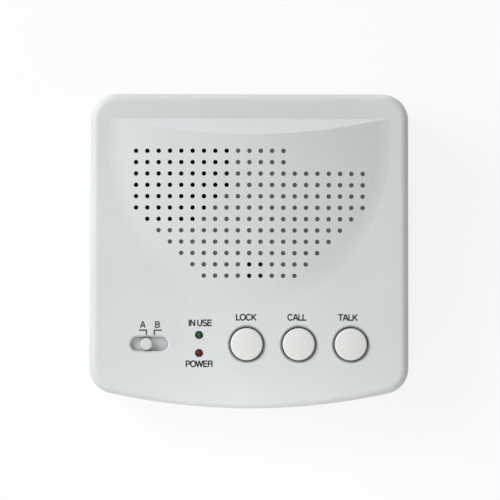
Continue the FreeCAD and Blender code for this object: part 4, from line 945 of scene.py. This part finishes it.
@dataclass
class Dressing:
    """The finishes of the carried-over nodes."""

    nodes: dict[str, bpy.types.Object]
    panel: FacePanel
    case_colour: Colour = linear(222, 224, 224)
    base_colour: Colour = linear(212, 215, 214)
    cap_colour: Colour = linear(229, 230, 226)
    knob_height: float = 3.0 * MM

    def build(self) -> int:
        """Gives every node its finish.

        Returns:
            How many finishes there are.
        """
        finishes = self.outside() | self.inside()
        dressed = set()
        for finish, names in finishes.items():
            paint = finish.material()
            for name in names:
                materials = self.nodes[name].data.materials
                materials.clear()
                materials.append(paint)
                dressed.add(name)
        missing = sorted(set(self.nodes) - dressed)
        if missing:
            raise ValueError(f"nodes without a finish: {missing}")
        return len(finishes)

    def lamp(self, node: str, colour: Colour, highlight_tint: Colour) -> TintedLamp:
        """The finish of one lamp.

        Args:
            node: The lamp's node.
            colour: The tint at its rim.
            highlight_tint: The lighter tint over its middle, a painted highlight.

        Returns:
            The finish.
        """
        return TintedLamp(f"{node}_epoxy", colour, 0.12, highlight_tint, tuple(self.panel.centre(node)),
                          tuple(self.panel.normal))

    def outside(self) -> dict[Finish, list[str]]:
        """The finishes that show.

        Returns:
            The nodes of each finish.
        """
        corners = self.nodes["selector_slider"].data.vertices
        slide_top = max(self.panel.level(corner.co) for corner in corners) - self.knob_height
        return {
            # painted shade in the case's holes and recesses and in the gaps round the button caps
            MouldedPlastic("case_plastic_satin", self.case_colour, 0.5, hollow_shade=0.95): ["top_case"],
            MouldedPlastic("base_plastic_satin", self.base_colour, 0.55): ["bottom_case"],
            MouldedPlastic("button_plastic_smooth", self.cap_colour, 0.34, depth=0.01 * MM,
                           drift=0.02, hollow_shade=0.95):
                ["lock_button_cap", "call_button_cap", "talk_button_cap"],
            SelectorPlastic("selector_plastic", linear(188, 190, 191), 0.5, linear(211, 215, 212),
                            tuple(self.panel.normal), slide_top): ["selector_slider"],
            # Each lamp's second colour is the lighter tint of its painted highlight.
            self.lamp("in_use_lamp", linear(8, 42, 22), linear(50, 102, 64)): ["in_use_lamp"],
            self.lamp("power_lamp", linear(70, 6, 8), linear(120, 15, 15)): ["power_lamp"],
            Rubber("foot_rubber_black", linear(38, 38, 38), 0.85):
                ["foot_front_left", "foot_front_right", "foot_rear_left", "foot_rear_right"],
            MouldedPlastic("inlet_plastic_black", linear(34, 34, 35), 0.4, drift=0.1):
                ["mains_inlet_housing"],
            PlatedMetal("prong_plating", linear(205, 198, 180), 0.22):
                ["mains_inlet_pins", "lamp_leads", "fuse_clips"],
            PlatedMetal("screw_zinc", linear(178, 178, 176), 0.3):
                ["case_screws", "board_screws", "speaker_screws", "speaker_clamp_washers",
                 "transformer_screws"],
        }

    def inside(self) -> dict[Finish, list[str]]:
        """The finishes inside the shells.

        Returns:
            The nodes of each finish.
        """
        fuse_middle = self.panel.centre("fuse").x
        return {
            Flecked("board_laminate_brown", linear(150, 112, 62), 0.5, linear(122, 88, 46),
                    1.2 * MM): ["circuit_board"],
            MouldedPlastic("part_plastic_black", linear(34, 34, 36), 0.45, drift=0.1):
                ["lock_switch_body", "call_switch_body", "talk_switch_body",
                 "audio_amplifier_chip", "lamp_spacers"],
            Banded("diode_body", linear(34, 34, 36), 0.4, linear(44, 44, 46), 1.5 * MM,
                   direction=ALONG_Y): ["rectifier_diodes"],
            MouldedPlastic("stem_plastic_white", linear(226, 222, 208), 0.4, drift=0.03):
                ["lock_plunger", "call_plunger", "talk_plunger", "selector_lever", "board_headers"],
            PlatedMetal("spring_wire", linear(150, 150, 152), 0.25, (4.0, 4.0, 4.0)):
                ["lock_spring", "call_spring", "talk_spring"],
            PlatedMetal("sheet_steel", linear(170, 170, 168), 0.32):
                ["selector_switch_body", "rf_coil_cans", "transformer_bracket", "speaker_frame"],
            Flecked("ferrite", linear(56, 56, 58), 0.7, linear(76, 76, 78), 0.6 * MM):
                ["speaker_magnet"],
            PlatedMetal("pole_iron", linear(150, 150, 148), 0.35):
                ["speaker_top_plate", "speaker_yoke"],
            Flecked("cone_paper_black", linear(20, 20, 21), 0.9, linear(30, 30, 31), 0.8 * MM):
                ["speaker_cone", "speaker_dust_cap", "speaker_gasket"],
            Rubber("surround_rubber_black", linear(24, 24, 25), 0.7):
                ["speaker_surround", "microphone_boot"],
            Banded("copper_winding", linear(150, 84, 44), 0.3, linear(104, 54, 26), 0.3 * MM,
                   metallic=1.0): ["voice_coil"],
            Banded("yellow_tape", linear(206, 176, 70), 0.35, linear(178, 146, 50), 4.0 * MM,
                   share=0.8): ["transformer_winding"],
            Banded("laminations", linear(96, 98, 100), 0.45, linear(62, 62, 64), 0.5 * MM,
                   direction=ALONG_Y, metallic=0.9): ["transformer_core"],
            PlatedMetal("capsule_aluminium", linear(196, 196, 198), 0.28): ["microphone_capsule"],
            Banded("blue_sleeve", linear(36, 52, 104), 0.3, linear(28, 42, 88), 5.0 * MM,
                   share=0.7, depth=0.02 * MM): ["electrolytic_capacitors", "film_capacitor"],
            Banded("resistor_lacquer", linear(196, 164, 120), 0.3, linear(120, 62, 36), 1.6 * MM,
                   share=0.72, direction=ALONG_Y, depth=0.02 * MM): ["resistors"],
            CappedGlass("fuse_glass_clear", linear(214, 224, 222), 0.08, fuse_middle): ["fuse"],
            Rubber("lead_sleeve", linear(44, 44, 48), 0.6):
                ["speaker_leads", "microphone_leads", "mains_leads", "transformer_leads"],
        }


@dataclass(frozen=True)
class Yielding:
    """A copy of a node's part, put on a body in the node's place."""

    node: str
    name: str
    body: Body
    joint: str
    slot: str
    travel: float

    def build(self, nodes: dict[str, bpy.types.Object], panel: FacePanel) -> None:
        """Makes the part from a copy of its node's shape and finish, puts it on its body and hides
        the node.

        Args:
            nodes: The carried-over nodes.
            panel: The face.
        """
        piece = bpy.data.objects.new(self.name, nodes[self.node].data.copy())
        bpy.context.scene.collection.objects.link(piece)
        corners = sorted((corner.co.copy() for corner in piece.data.vertices), key=panel.level)
        thickness = panel.level(corners[-1]) - panel.level(corners[0])
        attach(piece, self.body.value)
        1 - self.travel / thickness
        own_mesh(piece)
        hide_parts(self.node)


@dataclass
class Movement:
    """The springs under the buttons and the rubber roll that the speaker's cone hangs in."""

    nodes: dict[str, bpy.types.Object]
    panel: FacePanel
    buttons: tuple[str, ...] = ("lock", "call", "talk")
    press: float = 2.5 * MM
    throw: float = 0.5 * MM

    def build(self) -> int:
        """Makes every part that gives way.

        Returns:
            How many parts there are.
        """
        parts = [Yielding(f"{button}_spring", f"{button}_return_spring", Body.HOUSING,
                          f"{button}_button_press", "spring_steel", self.press)
                 for button in self.buttons]
        parts.append(Yielding("speaker_surround", "speaker_surround_roll", Body.SPEAKER_DIAPHRAGM,
                              "speaker_cone_travel", "surround_rubber", self.throw))
        for part in parts:
            part.build(self.nodes, self.panel)
        return len(parts)


@dataclass(frozen=True)
class Lamp:
    """One soft square lamp."""

    name: str
    place: Place
    side: float
    power: float
    colour: Colour

    def hang(self) -> None:
        """Hangs the lamp, turned to the object."""
        light = bpy.data.lights.new(self.name, "AREA")
        light.size = self.side
        light.energy = self.power
        light.color = self.colour
        lamp = bpy.data.objects.new(self.name, light)
        lamp.location = self.place
        lamp.rotation_euler = (-Vector(self.place)).to_track_quat("-Z", "Y").to_euler()
        lamp.visible_camera = False
        bpy.context.scene.collection.objects.link(lamp)


@dataclass
class Studio:
    """The pale floor, the soft light and the camera square to the face."""

    panel: FacePanel
    floor_half: float = 4.0
    floor_drop: float = 0.05 * MM
    floor_colour: Colour = (0.92, 0.92, 0.92)
    floor_glow: float = 0.85
    ambient: float = 0.38
    picture_width: float = 220.85 * MM
    picture_centre: Point = (0.36 * MM, 0.58 * MM)
    picture_roll: float = 0.0026
    camera_distance: float = 1.6
    camera_sensor: float = 36.0
    camera_reach: float = 100.0
    plain_spot: Point = (0.0, -30 * MM)
    lamps: tuple[Lamp, ...] = (
        Lamp("left_light", (-1.065, 0.0, 0.746), 0.5, 3.6, (0.93, 0.975, 1.0)),
        Lamp("rear_left_light", (-0.875, 0.505, 0.818), 0.5, 8.1, (0.955, 0.985, 1.0)),
        Lamp("rear_light", (0.0, 1.256, 0.336), 0.5, 2.0, (0.97, 0.985, 1.0)),
        Lamp("near_light", (0.0, -0.165, 0.125), 0.1, 0.08, (1.0, 0.99, 0.98)),
    )

    def build(self) -> None:
        """Makes the floor, the world, the lamps and the camera."""
        self.make_floor()
        self.make_world()
        for lamp in self.lamps:
            lamp.hang()
        self.make_camera()

    def make_floor(self) -> None:
        """Lays the floor under the feet; what looks at it directly sees it a little brighter."""
        half, level = self.floor_half, -self.floor_drop
        mesh = bpy.data.meshes.new("studio_floor")
        corners = ((-half, -half), (half, -half), (half, half), (-half, half))
        mesh.from_pydata([(*corner, level) for corner in corners], [], [(0, 1, 2, 3)])
        floor = bpy.data.objects.new("studio_floor", mesh)
        bpy.context.scene.collection.objects.link(floor)
        shader = Shader(bpy.data.materials.new("studio_floor_white"))
        shader.dress(Base_Color=self.floor_colour, Roughness=0.9, Specular_IOR_Level=0.0)
        glow = shader.add("ShaderNodeEmission", {}, {"Color": WHITE, "Strength": 1.0})
        mixed = shader.add("ShaderNodeMixShader", {},
                           {0: shader.seen() * self.floor_glow,
                            1: shader.surface.outputs["BSDF"], 2: glow.outputs["Emission"]})
        output = shader.tree.nodes["Material Output"]
        shader.feed(output.inputs["Surface"], mixed.outputs["Shader"])
        mesh.materials.append(shader.owner)

    def make_world(self) -> None:
        """Makes an even world that is white where it is looked at, by a mirror or glass too."""
        shader = Shader(bpy.data.worlds.new("studio_world"))
        strength = shader.seen() * (1 - self.ambient) + self.ambient
        shader.dress(Color=WHITE, Strength=strength)
        bpy.context.scene.world = shader.owner

    def make_camera(self) -> None:
        """Sets the camera square to the face, so far off that the sides don't show."""
        data = bpy.data.cameras.new("camera")
        data.sensor_width = self.camera_sensor
        data.lens = self.camera_sensor * self.camera_distance / self.picture_width
        data.clip_end = self.camera_reach
        camera = bpy.data.objects.new("camera", data)
        spot = self.panel.frame(Vector((0.0, 0.0, 0.0)), self.plain_spot)
        level = self.panel.level(spot.translation)
        aim = (self.panel.normal * level + self.panel.across * self.picture_centre[0]
               + self.panel.up * (self.face_line() + self.picture_centre[1]))
        stand = Matrix.Translation(aim + self.panel.normal * self.camera_distance)
        roll = Matrix.Rotation(self.picture_roll, 4, "Z")
        camera.matrix_world = stand @ self.panel.turn() @ roll
        bpy.context.scene.collection.objects.link(camera)
        bpy.context.scene.camera = camera

    def face_line(self) -> float:
        """Where the middle of the upper shell lies up the face."""
        lines = [vertex.co.dot(self.panel.up) for vertex in self.panel.case.data.vertices]
        return (min(lines) + max(lines)) / 2


def main() -> None:
    """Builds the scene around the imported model."""
    logging.basicConfig(level=logging.INFO, format="%(message)s")
    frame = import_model()
    bpy.context.scene.view_settings.view_transform = "Standard"
    axes = {joint["name"]: Vector(joint["axis"]) for joint in frame["joints"]}
    panel = FacePanel(frame["nodes"]["top_case"], axes["lock_button_press"])
    studio = Studio(panel)
    studio.build()
    LOG.info("studio: floor, world, %d lamps and the camera", len(studio.lamps))
    finishes = Dressing(frame["nodes"], panel).build()
    LOG.info("dressing: %d finishes on %d nodes", finishes, len(frame["nodes"]))
    LOG.info("movement: %d parts that give way", Movement(frame["nodes"], panel).build())
    LOG.info("legends: %d pieces", Legends(panel).build())


if __name__ == "__main__":
    main()
